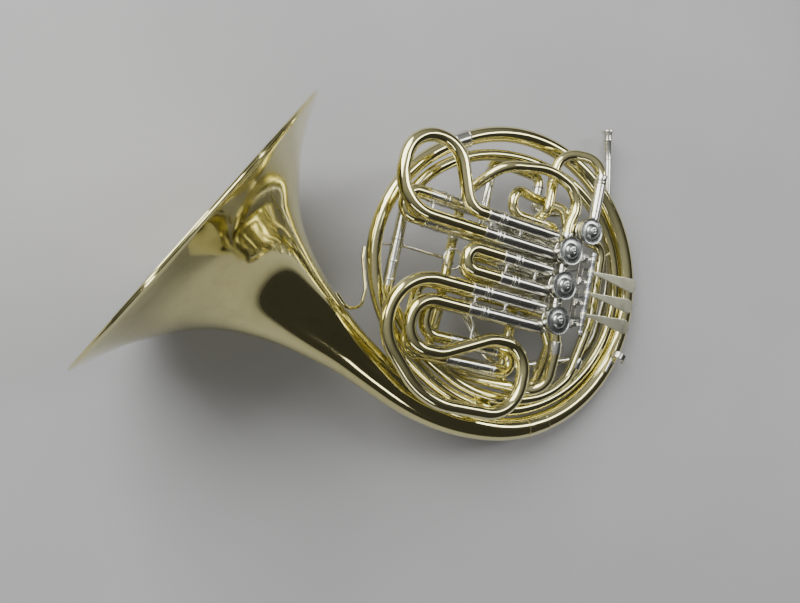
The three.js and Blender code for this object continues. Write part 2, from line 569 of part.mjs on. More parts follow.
VALVES.forEach(([name, [a, b]], i) => {
  const centre = at(a, b, 0);
  const outside = rod(at(a, b, CASING_Z[0]), at(a, b, CASING_Z[1]), CASING_R, VALVE_SIDES);
  const hollow = rod(at(a, b, 0), at(a, b, CASING_Z[1] + 1), CASING_BORE_R, VALVE_SIDES);
  const stemHole = rod(at(a, b, CASING_Z[0] - 1), at(a, b, 1), STEM_R + 0.45, 16);
  const next = casingSpace[i + 1];
  let body = join(outside, knuckles[i]);
  body = cut(body, hollow, stemHole);
  if (knuckles[i].length) body = cut(body, next);
  add("valve_casing_" + name, body, NICKEL);
  const capR = name === "thumb" ? THUMB_CAP_R : CAP_R;
  add("valve_cap_" + name, turned(capProfile(capR), centre, VALVE_SIDES), NICKEL);

  // The rotor has two scooped passages at each tubing level.
  const scoops = [Z_F, Z_B].flatMap((z) => [-1, 1].map((side) =>
    rod(at(a + side * 11, b - 16, z), at(a + side * 11, b + 16, z), 6, 8)));
  const rotor = cut(rod(at(a, b, ROTOR_Z[0]), at(a, b, ROTOR_Z[1]), ROTOR_R, VALVE_SIDES), scoops);
  const stem = rod(at(a, b, -8), at(a, b, 1.5), STEM_R, 16);
  add("rotor_" + name, join(rotor, stem), NICKEL);
});

// Stop arms: a crank under each casing that a rod pushes through a quarter turn.
const CRANK_R = 5.6;
const THUMB_CRANK_R = 3.6;
const crank = (a, b, pinA, pinB) => {
  const hub = rod(at(a, b, -8.3 - 1.8), at(a, b, -8.3), 4.2, 16);
  const reach = plate([[a - 2.2, b + 1], [pinA - 1.5, pinB - 2], [pinA + 2, pinB + 1.5], [a + 2.2, b + 2]],
    -10.1, -8.3);
  const pin = rod(at(pinA, pinB, -11), at(pinA, pinB, -9.9), 1.2, 8);
  return join(hub, reach, pin);
};
const quarter = Math.SQRT1_2;
const pins = VALVES.map(([name, [a, b]]) => name === "thumb"
  ? [a - THUMB_CRANK_R * quarter, b - THUMB_CRANK_R * quarter]
  : [a + CRANK_R * quarter, b - CRANK_R * quarter]);
VALVES.forEach(([name, [a, b]], i) => add("stop_arm_" + name, crank(a, b, ...pins[i]), STEEL));

// ---- Finger levers -------------------------------------------------------------------------
const LINK_Z = -13;
const linkRod = (armA, armB, pinA, pinB) =>
  join(rod(at(armA - 1.9, armB, LINK_Z), at(pinA, pinB, LINK_Z), ROD_R, 8),
    rod(at(pinA, pinB, EYE_Z[0]), at(pinA, pinB, EYE_Z[1]), EYE_R, PIN_SIDES));
const LEVER_ARM_STEP = [3.5, -3.5, -3.5]; // where each drop arm sits beside its hub's middle
const tube = (a, z, b0, b1, outerR, boreR) =>
  cut(rod(at(a, b0, z), at(a, b1, z), outerR, PIN_SIDES),
    rod(at(a, b0 - 1, z), at(a, b1 + 1, z), boreR, PIN_SIDES));

// A touch piece's outline: a, and how far from its hub's middle.
const PADDLE = [[35.1, -1.6], [48, -1.9], [58, -3.3], [68, -4.9], [82, -7], [88, -7.6], [92.6, -7.1],
  [95, -3.5], [95.3, 1.2], [93.8, 4.6], [90.6, 6.5], [85, 6.7], [71, 5.3], [58, 4.1], [47, 2.9], [35.1, 1.9]];
const PADDLE_Z = [39.8, 41.4];
const SPRING_R = 2.9;
const ARM_R = 1.5;
const ROD_R = 1.1;
const EYE_R = 2.4;
const EYE_Z = [LINK_Z - 1.1, LINK_Z + 1.05];
LEVER_B.forEach((b, i) => {
  const paddle = plate(PADDLE.map(([a, side]) => [a, b + side]), PADDLE_Z[0], PADDLE_Z[1]);
  const armB = b + LEVER_ARM_STEP[i];
  const arm = rod(at(AXLE_A, armB, AXLE_Z - 2.5), at(AXLE_A, armB, LINK_Z - 1.5), ARM_R, 8);
  const hub = tube(AXLE_A, AXLE_Z, b - 5, b + 5, HUB_R, HUB_BORE_R);
  add("lever_" + (i + 1), join(hub, paddle, arm), PALE_BRASS);
  const [pinA, pinB] = pins[i];
  const link = linkRod(AXLE_A, armB, pinA, pinB);
  add("link_rod_" + (i + 1), link, STEEL);
  const springEnds = [[27.5, 32.8], [5.5, 9], [-16.5, -13]][i];
  add("lever_spring_" + (i + 1), tube(AXLE_A, AXLE_Z, ...springEnds, SPRING_R, HUB_BORE_R), STEEL);
});

const AXLE_B = [-43, 43];
const NUT = { r: 3, length: 5 };
const onAxle = (b) => at(AXLE_A, b, AXLE_Z);
const axle = join(rod(onAxle(AXLE_B[0] + 4), onAxle(AXLE_B[1] - 2), AXLE_R, VALVE_SIDES),
  rod(onAxle(AXLE_B[1] - NUT.length), onAxle(AXLE_B[1]), NUT.r, PIN_SIDES),
  rod(onAxle(AXLE_B[0]), onAxle(AXLE_B[0] + NUT.length), NUT.r, PIN_SIDES));
add("lever_axle", axle, STEEL);
const LUGS_B = [35, 11, -11, -33];
const LUG_HALF = 1.5;
const LUG_FOOT = { a: [22, 28.9], half: 3.5, top: 40.2 };
const RAIL = { a: [19.5, 26], z: [36, 38.4], halfLength: 38 };
const lugs = LUGS_B.map((b) => join(
  rod(onAxle(b - LUG_HALF), onAxle(b + LUG_HALF), HUB_R + 0.3, VALVE_SIDES),
  plate(rectangle(RAIL.a[1] - 4, AXLE_A, b - LUG_HALF, b + LUG_HALF), RAIL.z[0], AXLE_Z - 1.2),
  plate(rectangle(...LUG_FOOT.a, b - LUG_FOOT.half, b + LUG_FOOT.half), RAIL.z[0], LUG_FOOT.top)));
const feet = [VALVE_PITCH, 0, -VALVE_PITCH].map((b) =>
  plate(rectangle(13.7, RAIL.a[0] + 1, b - 5, b + 5), RAIL.z[0], RAIL.z[1]));
const rail = plate(rectangle(...RAIL.a, -RAIL.halfLength, RAIL.halfLength), ...RAIL.z);
const axleHole = rod(onAxle(-60), onAxle(60), HUB_BORE_R, VALVE_SIDES);
add("lever_bracket", cut(join(rail, lugs, feet), axleHole), NICKEL);

// ---- Thumb lever ---------------------------------------------------------------------------
const THUMB_A = 46;
const THUMB_Z = -27.5;
const thumbPin = pins[3];
const thumbPaddle = plate([[44, 57], [26, 55], [14, 56], [10, 62], [14, 68], [26, 69], [44, 67]],
  THUMB_Z - 1.6, THUMB_Z + 0.2);
const thumbArm = rod(at(THUMB_A, thumbPin[1], THUMB_Z + 3), at(THUMB_A, thumbPin[1], LINK_Z + 1.5), ARM_R, 8);
add("thumb_lever", cut(join(rod(at(THUMB_A, 54, THUMB_Z), at(THUMB_A, 70, THUMB_Z), 3.6, 16), thumbPaddle,
  thumbArm), rod(at(THUMB_A, 50, THUMB_Z), at(THUMB_A, 74, THUMB_Z), 2.2, 16)), PALE_BRASS);
add("thumb_link", linkRod(THUMB_A, thumbPin[1], ...thumbPin), STEEL);
const ears = [52, 72].map((b) => plate(rectangle(THUMB_A - 3, 53.4, b - 1.5, b + 1.5),
  THUMB_Z - 3, THUMB_Z + 3));
const earBack = plate(rectangle(51.6, 53.4, 50.5, 73.5), THUMB_Z - 3, THUMB_Z + 9);
const earPin = rod(at(THUMB_A, 51, THUMB_Z), at(THUMB_A, 73, THUMB_Z), 1.75, 16);
const earPost = rod(at(52.5, 66, THUMB_Z + 8), at(60, 60, 3), 1.9, 8);
add("thumb_bracket", join(ears, earBack, earPin, earPost), NICKEL);

// ---- Finger hook and bell brace ------------------------------------------------------------
const HOOK_ANGLE = THREE.MathUtils.degToRad(-32.5);
const hookOut = xyz(Math.cos(HOOK_ANGLE), Math.sin(HOOK_ANGLE), 0);
const hookAlong = xyz(-hookOut.y, hookOut.x, 0);
const onLoop = (out, along, z) =>
  hookOut.clone().multiplyScalar(LOOP_R + out).addScaledVector(hookAlong, along).setZ(z);
const HOOK_Z = 12; // height of the shank that lies on the tube
const HOOK_HALF_WIDTH = 2.8;
// The bent strip: [distance out from the tube's centre line, height].
const HOOK_PATH = [[-6, HOOK_Z], [-8, 17], [-5.5, 21], [-1, 22.4], [4, 21], [7.5, 17], [9, 12.5]];
const shank = rod(onLoop(-5, 2, HOOK_Z), onLoop(-5, -22, HOOK_Z), 1.7, 8);
const saddle = rod(onLoop(-6, -8, HOOK_Z), onLoop(1, -8, 11.8), 1.3, WIRE_SIDES);
const hookBand = ([out, z]) => rod(onLoop(out, -HOOK_HALF_WIDTH, z), onLoop(out, HOOK_HALF_WIDTH, z), 0.8, 6);
const hookStrip = HOOK_PATH.slice(1).map((next, i) =>
  wasm.Manifold.hull([hookBand(HOOK_PATH[i]), hookBand(next)]));
add("finger_hook", join(shank, saddle, hookStrip), NICKEL);

const braceWire = bar(rounded([[xyz(-163.6, 30, 0)], [xyz(-166, 20, 2), 8], [xyz(-165.5, -9, 8), 20],
  [xyz(-172, -25, 14), 11], [xyz(-188, -27, 21), 13], [xyz(-199, -13, 25)]]), 1.6, WIRE_SIDES);
add("bell_brace", braceWire, BRASS);

// ---- Resting pose --------------------------------------------------------------------------
// The origin is moved to the middle of the horn's box, at the height of the table.
horn.rotation.set(THREE.MathUtils.degToRad(REST_TILT_X), THREE.MathUtils.degToRad(REST_TILT_Y), 0, "XYZ");
const box = new THREE.Box3().setFromObject(horn, true);
const middle = box.getCenter(new THREE.Vector3());
horn.position.set(-middle.x, -middle.y, -box.min.z);

export default horn;
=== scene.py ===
import math

import bmesh
import bpy
import numpy as np
from mathutils import Matrix, Vector

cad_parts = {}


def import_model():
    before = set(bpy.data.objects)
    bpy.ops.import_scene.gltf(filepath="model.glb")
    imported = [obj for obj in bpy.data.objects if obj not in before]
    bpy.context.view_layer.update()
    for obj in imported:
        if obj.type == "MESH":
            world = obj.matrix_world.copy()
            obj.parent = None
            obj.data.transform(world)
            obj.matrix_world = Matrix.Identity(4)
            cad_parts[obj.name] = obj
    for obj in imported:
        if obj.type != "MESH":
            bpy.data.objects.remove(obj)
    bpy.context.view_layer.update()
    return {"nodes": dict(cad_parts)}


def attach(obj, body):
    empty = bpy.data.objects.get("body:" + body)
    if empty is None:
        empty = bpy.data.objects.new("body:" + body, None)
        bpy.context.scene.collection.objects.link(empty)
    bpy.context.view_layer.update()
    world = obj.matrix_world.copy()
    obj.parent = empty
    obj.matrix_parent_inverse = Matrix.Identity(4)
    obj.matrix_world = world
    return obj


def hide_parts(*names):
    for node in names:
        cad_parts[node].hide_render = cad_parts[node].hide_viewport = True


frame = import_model()

# ---- Frames --------------------------------------------------------------------------------
REST_TILT_Y = math.radians(15.2298)
REST_TILT_X = math.radians(5.272)
SHIFT = Vector((122.47506, -8.93181, 57.89635))
METRES = 0.001
TURN = Matrix.Rotation(REST_TILT_X, 3, "X") @ Matrix.Rotation(REST_TILT_Y, 3, "Y")
ROW_ANGLE = math.radians(-13)
VALVE_2 = Vector((29.7, -5, 0))
U = Vector((math.cos(ROW_ANGLE), math.sin(ROW_ANGLE), 0))
V = Vector((-U.y, U.x, 0))
Z = Vector((0, 0, 1))


def world(p):
    return (TURN @ Vector(p) + SHIFT) * METRES


def at(a, b, z):
    """A place in the valve block: a across the valve row, b along it, both from the second valve."""
    return VALVE_2 + U * a + V * b + Z * z


def xyz(x, y, z):
    return Vector((x, y, z))


# ---- Camera and light ----------------------------------------------------------------------
EYE = xyz(-367.4, -20.5, 539.2)
VIEW_SIN, VIEW_COS = 0.4067, 0.9135  # the camera looks 24 degrees off the valves' axis
LAMP_TARGET = (0, 0, 0.1)
camera = bpy.data.objects.new("camera", bpy.data.cameras.new("camera"))
camera.data.lens = 27.9
camera.data.sensor_width = 36
camera.data.clip_end = 50
forward = TURN @ xyz(VIEW_SIN, 0, -VIEW_COS)
right = TURN @ xyz(VIEW_COS, 0, VIEW_SIN)
up = TURN @ xyz(0, 1, 0)
camera_axes = Matrix((right, up, -forward)).transposed()
camera.matrix_world = Matrix.Translation(world(EYE)) @ camera_axes.to_4x4()
bpy.context.scene.collection.objects.link(camera)
bpy.context.scene.camera = camera


def softbox(name, place, size, power):
    lamp = bpy.data.lights.new(name, "AREA")
    lamp.shape = "RECTANGLE"
    lamp.size, lamp.size_y = size
    lamp.energy = power
    holder = bpy.data.objects.new(name, lamp)
    holder.location = place
    holder.rotation_euler = (Vector(LAMP_TARGET) - Vector(place)).to_track_quat("-Z", "Y").to_euler()
    bpy.context.scene.collection.objects.link(holder)


softbox("key", (-0.9, 1.2, 1.7), (1.9, 1.9), 74)
softbox("fill", (1.6, 0.5, 1.5), (0.35, 1.5), 13)
softbox("front", (-0.3, -1.9, 1.1), (1.6, 0.2), 7)
world_light = bpy.data.worlds.new("studio")
bpy.context.scene.world = world_light
world_light.use_nodes = True
sky = world_light.node_tree
sky.nodes["Background"].inputs["Strength"].default_value = 0.42
sky_ramp = sky.nodes.new("ShaderNodeValToRGB")
for element, position, tone in zip(sky_ramp.color_ramp.elements, (0.2, 0.95), (0.10, 1.0)):
    element.position = position
    element.color = (tone, tone, tone * 1.02, 1)
sky_way = sky.nodes.new("ShaderNodeTexCoord")
sky_dot = sky.nodes.new("ShaderNodeVectorMath")
sky_dot.operation = "DOT_PRODUCT"
sky_dot.inputs[1].default_value = (-0.35, 0.42, 0.84)
sky.links.new(sky_way.outputs["Generated"], sky_dot.inputs[0])
sky.links.new(sky_dot.outputs["Value"], sky_ramp.inputs[0])
sky.links.new(sky_ramp.outputs[0], sky.nodes["Background"].inputs["Color"])


# ---- Materials -----------------------------------------------------------------------------
class Nodes:
    def __init__(self, name, **uniform):
        self.material = bpy.data.materials.new(name)
        self.material.use_nodes = True
        self.tree = self.material.node_tree
        self.shader = self.tree.nodes["Principled BSDF"]
        for socket, value in uniform.items():
            self.shader.inputs[socket.replace("_", " ").title()].default_value = value
        self.place = self.tree.nodes.new("ShaderNodeTexCoord").outputs["Object"]

    def node(self, kind):
        return self.tree.nodes.new(kind)

    def link(self, a, b):
        self.tree.links.new(a, b)

    def feed(self, socket, value):
        """Puts another node's output, a colour or a number into a socket."""
        if isinstance(value, bpy.types.NodeSocket):
            self.link(value, socket)
        else:
            socket.default_value = (*value, 1) if isinstance(value, tuple) else value

    def noise(self, scale, detail=3.0, stretch=(1, 1, 1), roughness=0.5):
        mapping = self.node("ShaderNodeMapping")
        mapping.inputs["Scale"].default_value = stretch
        self.link(self.place, mapping.inputs["Vector"])
        made = self.node("ShaderNodeTexNoise")
        made.inputs["Scale"].default_value = scale
        made.inputs["Detail"].default_value = detail
        made.inputs["Roughness"].default_value = roughness
        self.link(mapping.outputs[0], made.inputs["Vector"])
        return made.outputs["Fac"]

    def ramp(self, source, stops):
        made = self.node("ShaderNodeValToRGB")
        ramp = made.color_ramp
        while len(ramp.elements) < len(stops):
            ramp.elements.new(0.5)
        for element, (position, color) in zip(ramp.elements, stops):
            element.position = position
            element.color = (*color, 1)
        self.link(source, made.inputs[0])
        return made.outputs[0]

    def spread(self, source, low, high):
        """Stretches the middle of a noise's range to low and high."""
        made = self.node("ShaderNodeMapRange")
        limits = {"From Min": 0.3, "From Max": 0.7, "To Min": low, "To Max": high}
        for socket, value in limits.items():
            made.inputs[socket].default_value = value
        self.link(source, made.inputs["Value"])
        return made.outputs[0]

    def mix(self, amount, a, b):
        made = self.node("ShaderNodeMixRGB")
        for socket, value in zip(made.inputs, (amount, a, b)):
            self.feed(socket, value)
        return made.outputs[0]

    def bump(self, source, strength, distance):
        made = self.node("ShaderNodeBump")
        made.inputs["Strength"].default_value = strength
        made.inputs["Distance"].default_value = distance
        self.link(source, made.inputs["Height"])
        self.link(made.outputs[0], self.shader.inputs["Normal"])


GRAIN_DEPTH = 0.00025


def metal(name, tones, stain, rough, grain, coat=0.0, brushed=(1, 1, 1)):
    """A worked metal: tones are its lightest and darkest clean colour, stain what time adds to it."""
    n = Nodes(name, metallic=1.0, coat_weight=coat, coat_roughness=0.06)
    broad = n.noise(9, 4)
    fine = n.noise(85, 4, roughness=0.6)
    spots = n.noise(240, 2, roughness=0.7)
    clean = n.ramp(broad, [(0.32, tones[1]), (0.68, tones[0])])
    worn = n.ramp(fine, [(0.52, (0, 0, 0)), (0.80, (0.30, 0.30, 0.30))])
    speck = n.ramp(spots, [(0.66, (0, 0, 0)), (0.80, (0.28, 0.28, 0.28))])
    color = n.mix(worn, clean, stain)
    color = n.mix(speck, color, stain)
    n.link(color, n.shader.inputs["Base Color"])
    lines = n.noise(900, 2, brushed)
    level = n.mix(0.5, fine, lines)
    n.link(n.spread(level, rough[0], rough[1]), n.shader.inputs["Roughness"])
    n.bump(n.mix(0.75, lines, broad), grain, GRAIN_DEPTH)
    return n.material


BRASS = metal("lacquered_brass", ((0.84, 0.785, 0.42), (0.76, 0.70, 0.34)), (0.42, 0.36, 0.15),
              (0.05, 0.15), 0.05, coat=0.25)
BELL = metal("bell_brass", ((0.80, 0.74, 0.37), (0.72, 0.66, 0.30)), (0.40, 0.34, 0.14),
             (0.04, 0.12), 0.03, coat=0.3)
NICKEL = metal("nickel_silver", ((0.76, 0.75, 0.67), (0.66, 0.65, 0.57)), (0.40, 0.38, 0.30),
               (0.12, 0.30), 0.08)
CAP = metal("turned_nickel", ((0.54, 0.56, 0.54), (0.44, 0.46, 0.44)), (0.24, 0.24, 0.22),
            (0.16, 0.34), 0.12, brushed=(0.2, 0.2, 6))
SATIN = metal("satin_nickel", ((0.93, 0.92, 0.70), (0.86, 0.85, 0.62)), (0.52, 0.50, 0.38),
              (0.26, 0.44), 0.16, brushed=(0.25, 5, 5))
STEEL = metal("steel", ((0.60, 0.62, 0.64), (0.50, 0.52, 0.54)), (0.28, 0.28, 0.26),
              (0.20, 0.40), 0.12, brushed=(4, 4, 0.3))

# ---- Paths ---------------------------------------------------------------------------------
BEND_STEP = math.radians(5)


def rounded(corners):
    """Points along a polyline of (point, bend radius) corners; the ends have no radius."""
    points = [corners[0][0].copy()]
    for i in range(1, len(corners) - 1):
        corner, radius = corners[i]
        before = (corners[i - 1][0] - corner).normalized()
        after = (corners[i + 1][0] - corner).normalized()
        turn = math.pi - before.angle(after)
        if turn < 0.01:
            continue
        tangent = radius * math.tan(turn / 2)
        centre = corner + (before + after).normalized() * (radius / math.cos(turn / 2))
        start = corner + before * tangent - centre
        axis = before.cross(after).normalized()
        steps = max(2, round(turn / BEND_STEP))
        for k in range(steps + 1):
            points.append(Matrix.Rotation(-turn * k / steps, 3, axis) @ start + centre)
    points.append(corners[-1][0].copy())
    return points


def between(p0, p1, p2, p3, t):
    """The place t of the way from p1 to p2 on a smooth line through all four."""
    return 0.5 * (2 * p1 + (p2 - p0) * t + (2 * p0 - 5 * p1 + 4 * p2 - p3) * t**2
                  + (3 * p1 - p0 - 3 * p2 + p3) * t**3)


def smooth_outline(stations, steps):
    """A smooth flat line through stations, with this many steps from one to the next."""
    ends = [np.array(p) for p in (stations[0], *stations, stations[-1])]
    out = []
    for i in range(1, len(ends) - 2):
        for k in range(steps):
            q = between(*ends[i - 1 : i + 3], k / steps)
            out.append((float(q[0]), float(q[1])))
    return [*out, stations[-1]]


ARC_STEP = 2.0
KNOT_UNIT = 50


def around(stations):
    """Points round the body's centre through stations of (degrees, distance, height)."""
    knots = [Vector(s) / KNOT_UNIT for s in stations]
    knots = [2 * knots[0] - knots[1], *knots, 2 * knots[-1] - knots[-2]]
    out = []
    for i in range(1, len(knots) - 2):
        p0, p1, p2, p3 = knots[i - 1 : i + 3]
        count = max(1, round(abs(p2.x - p1.x) * KNOT_UNIT / ARC_STEP))
        for k in range(count + (i == len(knots) - 3)):
            p = between(p0, p1, p2, p3, k / count)
            angle, far = math.radians(p.x * KNOT_UNIT), p.y * KNOT_UNIT
            out.append(xyz(far * math.cos(angle), far * math.sin(angle), p.z * KNOT_UNIT))
    return out


def lengths(points):
    out = [0.0]
    for p, q in zip(points, points[1:]):
        out.append(out[-1] + (q - p).length)
    return out


# ---- Mesh making ---------------------------------------------------------------------------
SMOOTH_LIMIT = math.radians(32)


def circle(centre, side, other, r, sides):
    turns = [2 * math.pi * k / sides for k in range(sides)]
    return [centre + (side * math.cos(t) + other * math.sin(t)) * r for t in turns]


def along_line(points, radii, far, s):
    """The point and the radius at length s of a line with lengths far."""
    i = min(max(int(np.searchsorted(far, s)), 1), len(far) - 1)
    t = (s - far[i - 1]) / (far[i] - far[i - 1])
    return points[i - 1].lerp(points[i], t), radii[i - 1] + (radii[i] - radii[i - 1]) * t


def round_ends(points, radii, edge):
    """The same line and radii, drawn in over a length edge at both ends."""
    far = lengths(points)
    total = far[-1]
    marks = {edge * f for f in (0, 0.2, 0.6, 1)} | {total - edge * f for f in (1, 0.6, 0.2, 0)}
    marks |= {s for s in far if edge < s < total - edge}
    cut = []
    for s in sorted(marks):
        point, r = along_line(points, radii, far, s)
        near = min(s, total - s)
        drop = edge * (1 - math.sqrt(max(0, 1 - (1 - min(near / edge, 1)) ** 2)))
        cut.append((point, r - drop))
    return [c[0] for c in cut], [c[1] for c in cut]


class Shape:
    """Verts and faces in the body frame; build() makes one object of them."""

    def __init__(self):
        self.verts = []
        self.faces = []

    def rings(self, loops, closed=False):
        """A skin over loops of equal length; a loop of one vertex is a pole."""
        base = []
        for loop in loops:
            base.append(len(self.verts))
            self.verts.extend(loop)
        pairs = list(zip(range(len(loops)), range(1, len(loops))))
        if closed:
            pairs.append((len(loops) - 1, 0))
        for i, j in pairs:
            n, m = len(loops[i]), len(loops[j])
            sides = max(n, m)
            for k in range(sides):
                nxt = (k + 1) % sides
                a, b = base[i] + k % n, base[i] + nxt % n
                c, d = base[j] + nxt % m, base[j] + k % m
                face = [a, b, c, d]
                if n == 1:
                    face = [a, c, d]
                if m == 1:
                    face = [a, b, c]
                self.faces.append(face)
        return self

    def tube(self, points, radii, sides=28, caps=True, edge=0.0):
        """A round tube along points. edge rounds its two ends over that length."""
        points = [Vector(p) for p in points]
        if not hasattr(radii, "__len__"):
            radii = [radii] * len(points)
        if edge:
            points, radii = round_ends(points, radii, edge)
        last = len(points) - 1
        tangents = [(points[min(i + 1, last)] - points[max(i - 1, 0)]).normalized()
                    for i in range(last + 1)]
        side = tangents[0].cross(Vector((0, 1, 0)) if abs(tangents[0].z) > 0.9 else Z).normalized()
        loops = []
        for point, radius, t in zip(points, radii, tangents):
            side = (side - t * side.dot(t)).normalized()
            loops.append(circle(point, side, side.cross(t), radius, sides))
        if caps:
            loops = [[points[0]], *loops, [points[-1]]]
        return self.rings(loops)

    def rod(self, a, b, r, sides=24, edge=0.3):
        return self.tube([a, b], r, sides, edge=min(edge, r * 0.6))

    def turned(self, profile, origin, axis, sides=48, closed=False):
        """A turned shape: profile is (radius, height) along axis from origin."""
        axis = Vector(axis).normalized()
        side = axis.cross(Vector((0, 1, 0)) if abs(axis.z) > 0.9 else Z).normalized()
        other = axis.cross(side)
        loops = []
        for r, h in profile:
            centre = Vector(origin) + axis * h
            if r < 1e-6:
                loops.append([centre])
                continue
            loops.append(circle(centre, side, other, r, sides))
        return self.rings(loops, closed)

    def band(self, centre, direction, r, length, depth=1.6, edge=0.5, sides=40):
        """A raised ring round a tube, with rounded edges."""
        h = length / 2
        profile = [(r - depth, -h), (r - edge, -h), (r - edge * 0.3, -h + edge * 0.3), (r, -h + edge),
                   (r, h - edge), (r - edge * 0.3, h - edge * 0.3), (r - edge, h), (r - depth, h)]
        return self.turned(profile, centre, direction, sides, closed=True)

    def bead(self, centre, direction, r, wire, sides=40):
        """A half-round wire ring lying on a tube."""
        turns = np.linspace(0, 2 * math.pi, 10, False)
        profile = [(r + wire * math.cos(t), wire * math.sin(t)) for t in turns]
        return self.turned(profile, centre, direction, sides, closed=True)

    def slab(self, outline, low, high, bevel=0.4):
        """A plate of an (a, b) outline between two heights, with bevelled edges."""
        middle = np.mean(np.array(outline), axis=0)
        area = sum(p[0] * q[1] - q[0] * p[1] for p, q in zip(outline, outline[1:] + outline[:1]))
        sign = 1 if area > 0 else -1

        def loop(inset, z):
            out = []
            count = len(outline)
            for i, p in enumerate(outline):
                before, after = np.array(outline[i - 1]), np.array(outline[(i + 1) % count])
                way = after - before
                normal = np.array([way[1], -way[0]])
                normal = normal / (np.linalg.norm(normal) + 1e-9)
                q = np.array(p) - normal * inset * sign
                out.append(at(q[0], q[1], z))
            return out

        part = bevel * 0.3
        return self.rings([
            [at(*middle, low)], loop(bevel, low), loop(part, low + part), loop(0, low + bevel),
            loop(0, high - bevel), loop(part, high - part), loop(bevel, high),
            loop(bevel * 1.6, high), [at(*middle, high)]])

    def build(self, name, material, body, replaces=None):
        mesh = bpy.data.meshes.new(name)
        mesh.from_pydata([world(v) for v in self.verts], [], self.faces)
        bm = bmesh.new()
        bm.from_mesh(mesh)
        bmesh.ops.recalc_face_normals(bm, faces=bm.faces)
        for face in bm.faces:
            face.smooth = True
        for e in bm.edges:
            if len(e.link_faces) == 2 and e.calc_face_angle(0) > SMOOTH_LIMIT:
                e.smooth = False
        bm.to_mesh(mesh)
        bm.free()
        made = bpy.data.objects.new(name, mesh)
        bpy.context.scene.collection.objects.link(made)
        mesh.materials.append(material)
        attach(made, body)
        if replaces:
            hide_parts(replaces)
        return made


# ---- Dimensions shared with the frame ------------------------------------------------------
CLEAR = 0.3  # gap left between pieces that are soldered or pushed together
LOOP_R = 152  # centre line of the outer tubing circle
PITCH = 35.3  # from valve to valve
Z_F = 34  # heights of the F and the B flat tubing
Z_B = 15
SLEEVE_R = 6.85
SLEEVE_BORE_R = 5.95
LEG_R = 5.5
CROOK_R = 6.5
TUBE_R = 5.6
TURNED_EDGE = 0.35
LEFT_RISER_A = -163
RISER_Z = -6
SLIM = {"outer": 5.7, "bore": 4.85, "leg": 4.4, "crook": 5.4}

# ---- Bell ----------------------------------------------------------------------------------
BELL_RIM = xyz(-313.2, 43.3, 0)
BELL_HEADING = math.radians(-39.15)
BELL_JOIN_TURN = math.radians(30)
BELL_TAIL_ANGLE = math.radians(-82.1)
BELL_WALL = 0.9
BELL_SIDES = 128
WIDE_STEPS = 30
TAIL_STEPS = 12
BELL_RADII = [(0, 149), (2, 148.2), (6, 140.4), (12.5, 125.6), (22, 107.8), (35, 90.2), (50, 72.8),
              (68, 57.8), (90, 46), (115, 36.3), (145, 28.4), (180, 21.8), (215, 18.8), (250, 16.3),
              (300, 14), (350, 12.2), (400, 11)]


def bell_radius(s):
    """Smooth flare through the stations: slopes kept monotone between them."""
    xs = [p[0] for p in BELL_RADII]
    ys = [math.log(p[1]) for p in BELL_RADII]
    count = len(xs)
    slopes = [(ys[i + 1] - ys[i]) / (xs[i + 1] - xs[i]) for i in range(count - 1)]
    grads = [slopes[0], *(2 * m * n / (m + n) for m, n in zip(slopes, slopes[1:])), slopes[-1]]
    i = min(max(int(np.searchsorted(xs, s)) - 1, 0), count - 2)
    h = xs[i + 1] - xs[i]
    t = min(max((s - xs[i]) / h, 0), 1)
    y = ((2 * t**3 - 3 * t**2 + 1) * ys[i] + (t**3 - 2 * t**2 + t) * h * grads[i]
         + (-2 * t**3 + 3 * t**2) * ys[i + 1] + (t**3 - t**2) * h * grads[i + 1])
    return math.exp(y)


def bell_line():
    d = xyz(math.cos(BELL_HEADING), math.sin(BELL_HEADING), 0)
    n = xyz(-d.y, d.x, 0)
    offset, foot = -BELL_RIM.dot(n), -BELL_RIM.dot(d)
    turn_cos = math.cos(BELL_JOIN_TURN)
    wide = (offset - LOOP_R * turn_cos) / (1 - turn_cos)
    straight = foot - (wide - LOOP_R) * math.sin(BELL_JOIN_TURN)
    stops = [0, 0.4, 1, 2, 3, 4, 5, 6.5, 8, 10, 12.5, 15, 18, 22, 26, 30, 35, 40, 45, 50]
    stops += list(np.arange(56, straight - 3, 6))
    points = [BELL_RIM + d * s for s in stops]
    centre = BELL_RIM + d * straight + n * wide
    for k in range(WIDE_STEPS + 1):
        h = BELL_HEADING - math.pi / 2 + BELL_JOIN_TURN * k / WIDE_STEPS
        points.append(xyz(centre.x + wide * math.cos(h), centre.y + wide * math.sin(h), 0))
    join = BELL_HEADING - math.pi / 2 + BELL_JOIN_TURN
    for k in range(1, TAIL_STEPS + 1):
        h = join + (BELL_TAIL_ANGLE - join) * k / TAIL_STEPS
        points.append(xyz(LOOP_R * math.cos(h), LOOP_R * math.sin(h), 0))
    return points


bell_points = bell_line()
bell_far = lengths(bell_points)
bell_outer = [bell_radius(s) for s in bell_far]
bell = Shape()
bell.tube(bell_points, bell_outer, BELL_SIDES, caps=False)
bell.tube(bell_points, [r - BELL_WALL for r in bell_outer], BELL_SIDES, caps=False)
inner_base = len(bell_points) * BELL_SIDES
tail_base = inner_base - BELL_SIDES
for k in range(BELL_SIDES):
    nxt = (k + 1) % BELL_SIDES
    bell.faces.append([k, inner_base + k, inner_base + nxt, nxt])
    far_a, far_b = tail_base + k, tail_base + nxt
    bell.faces.append([far_a, far_b, inner_base + far_b, inner_base + far_a])
bell.build("bell_flare", BELL, "body", "bell")
heading = xyz(math.cos(BELL_HEADING), math.sin(BELL_HEADING), 0)
Shape().bead(BELL_RIM + heading * 1.3, heading, 147.7, 1.25, 160).build("bell_rim_wire", BELL, "body")

# ---- Big tapered loop ----------------------------------------------------------------------
def tapered(points, r0, r1):
    far = lengths(points)
    return [r0 + (r1 - r0) * s / far[-1] for s in far]


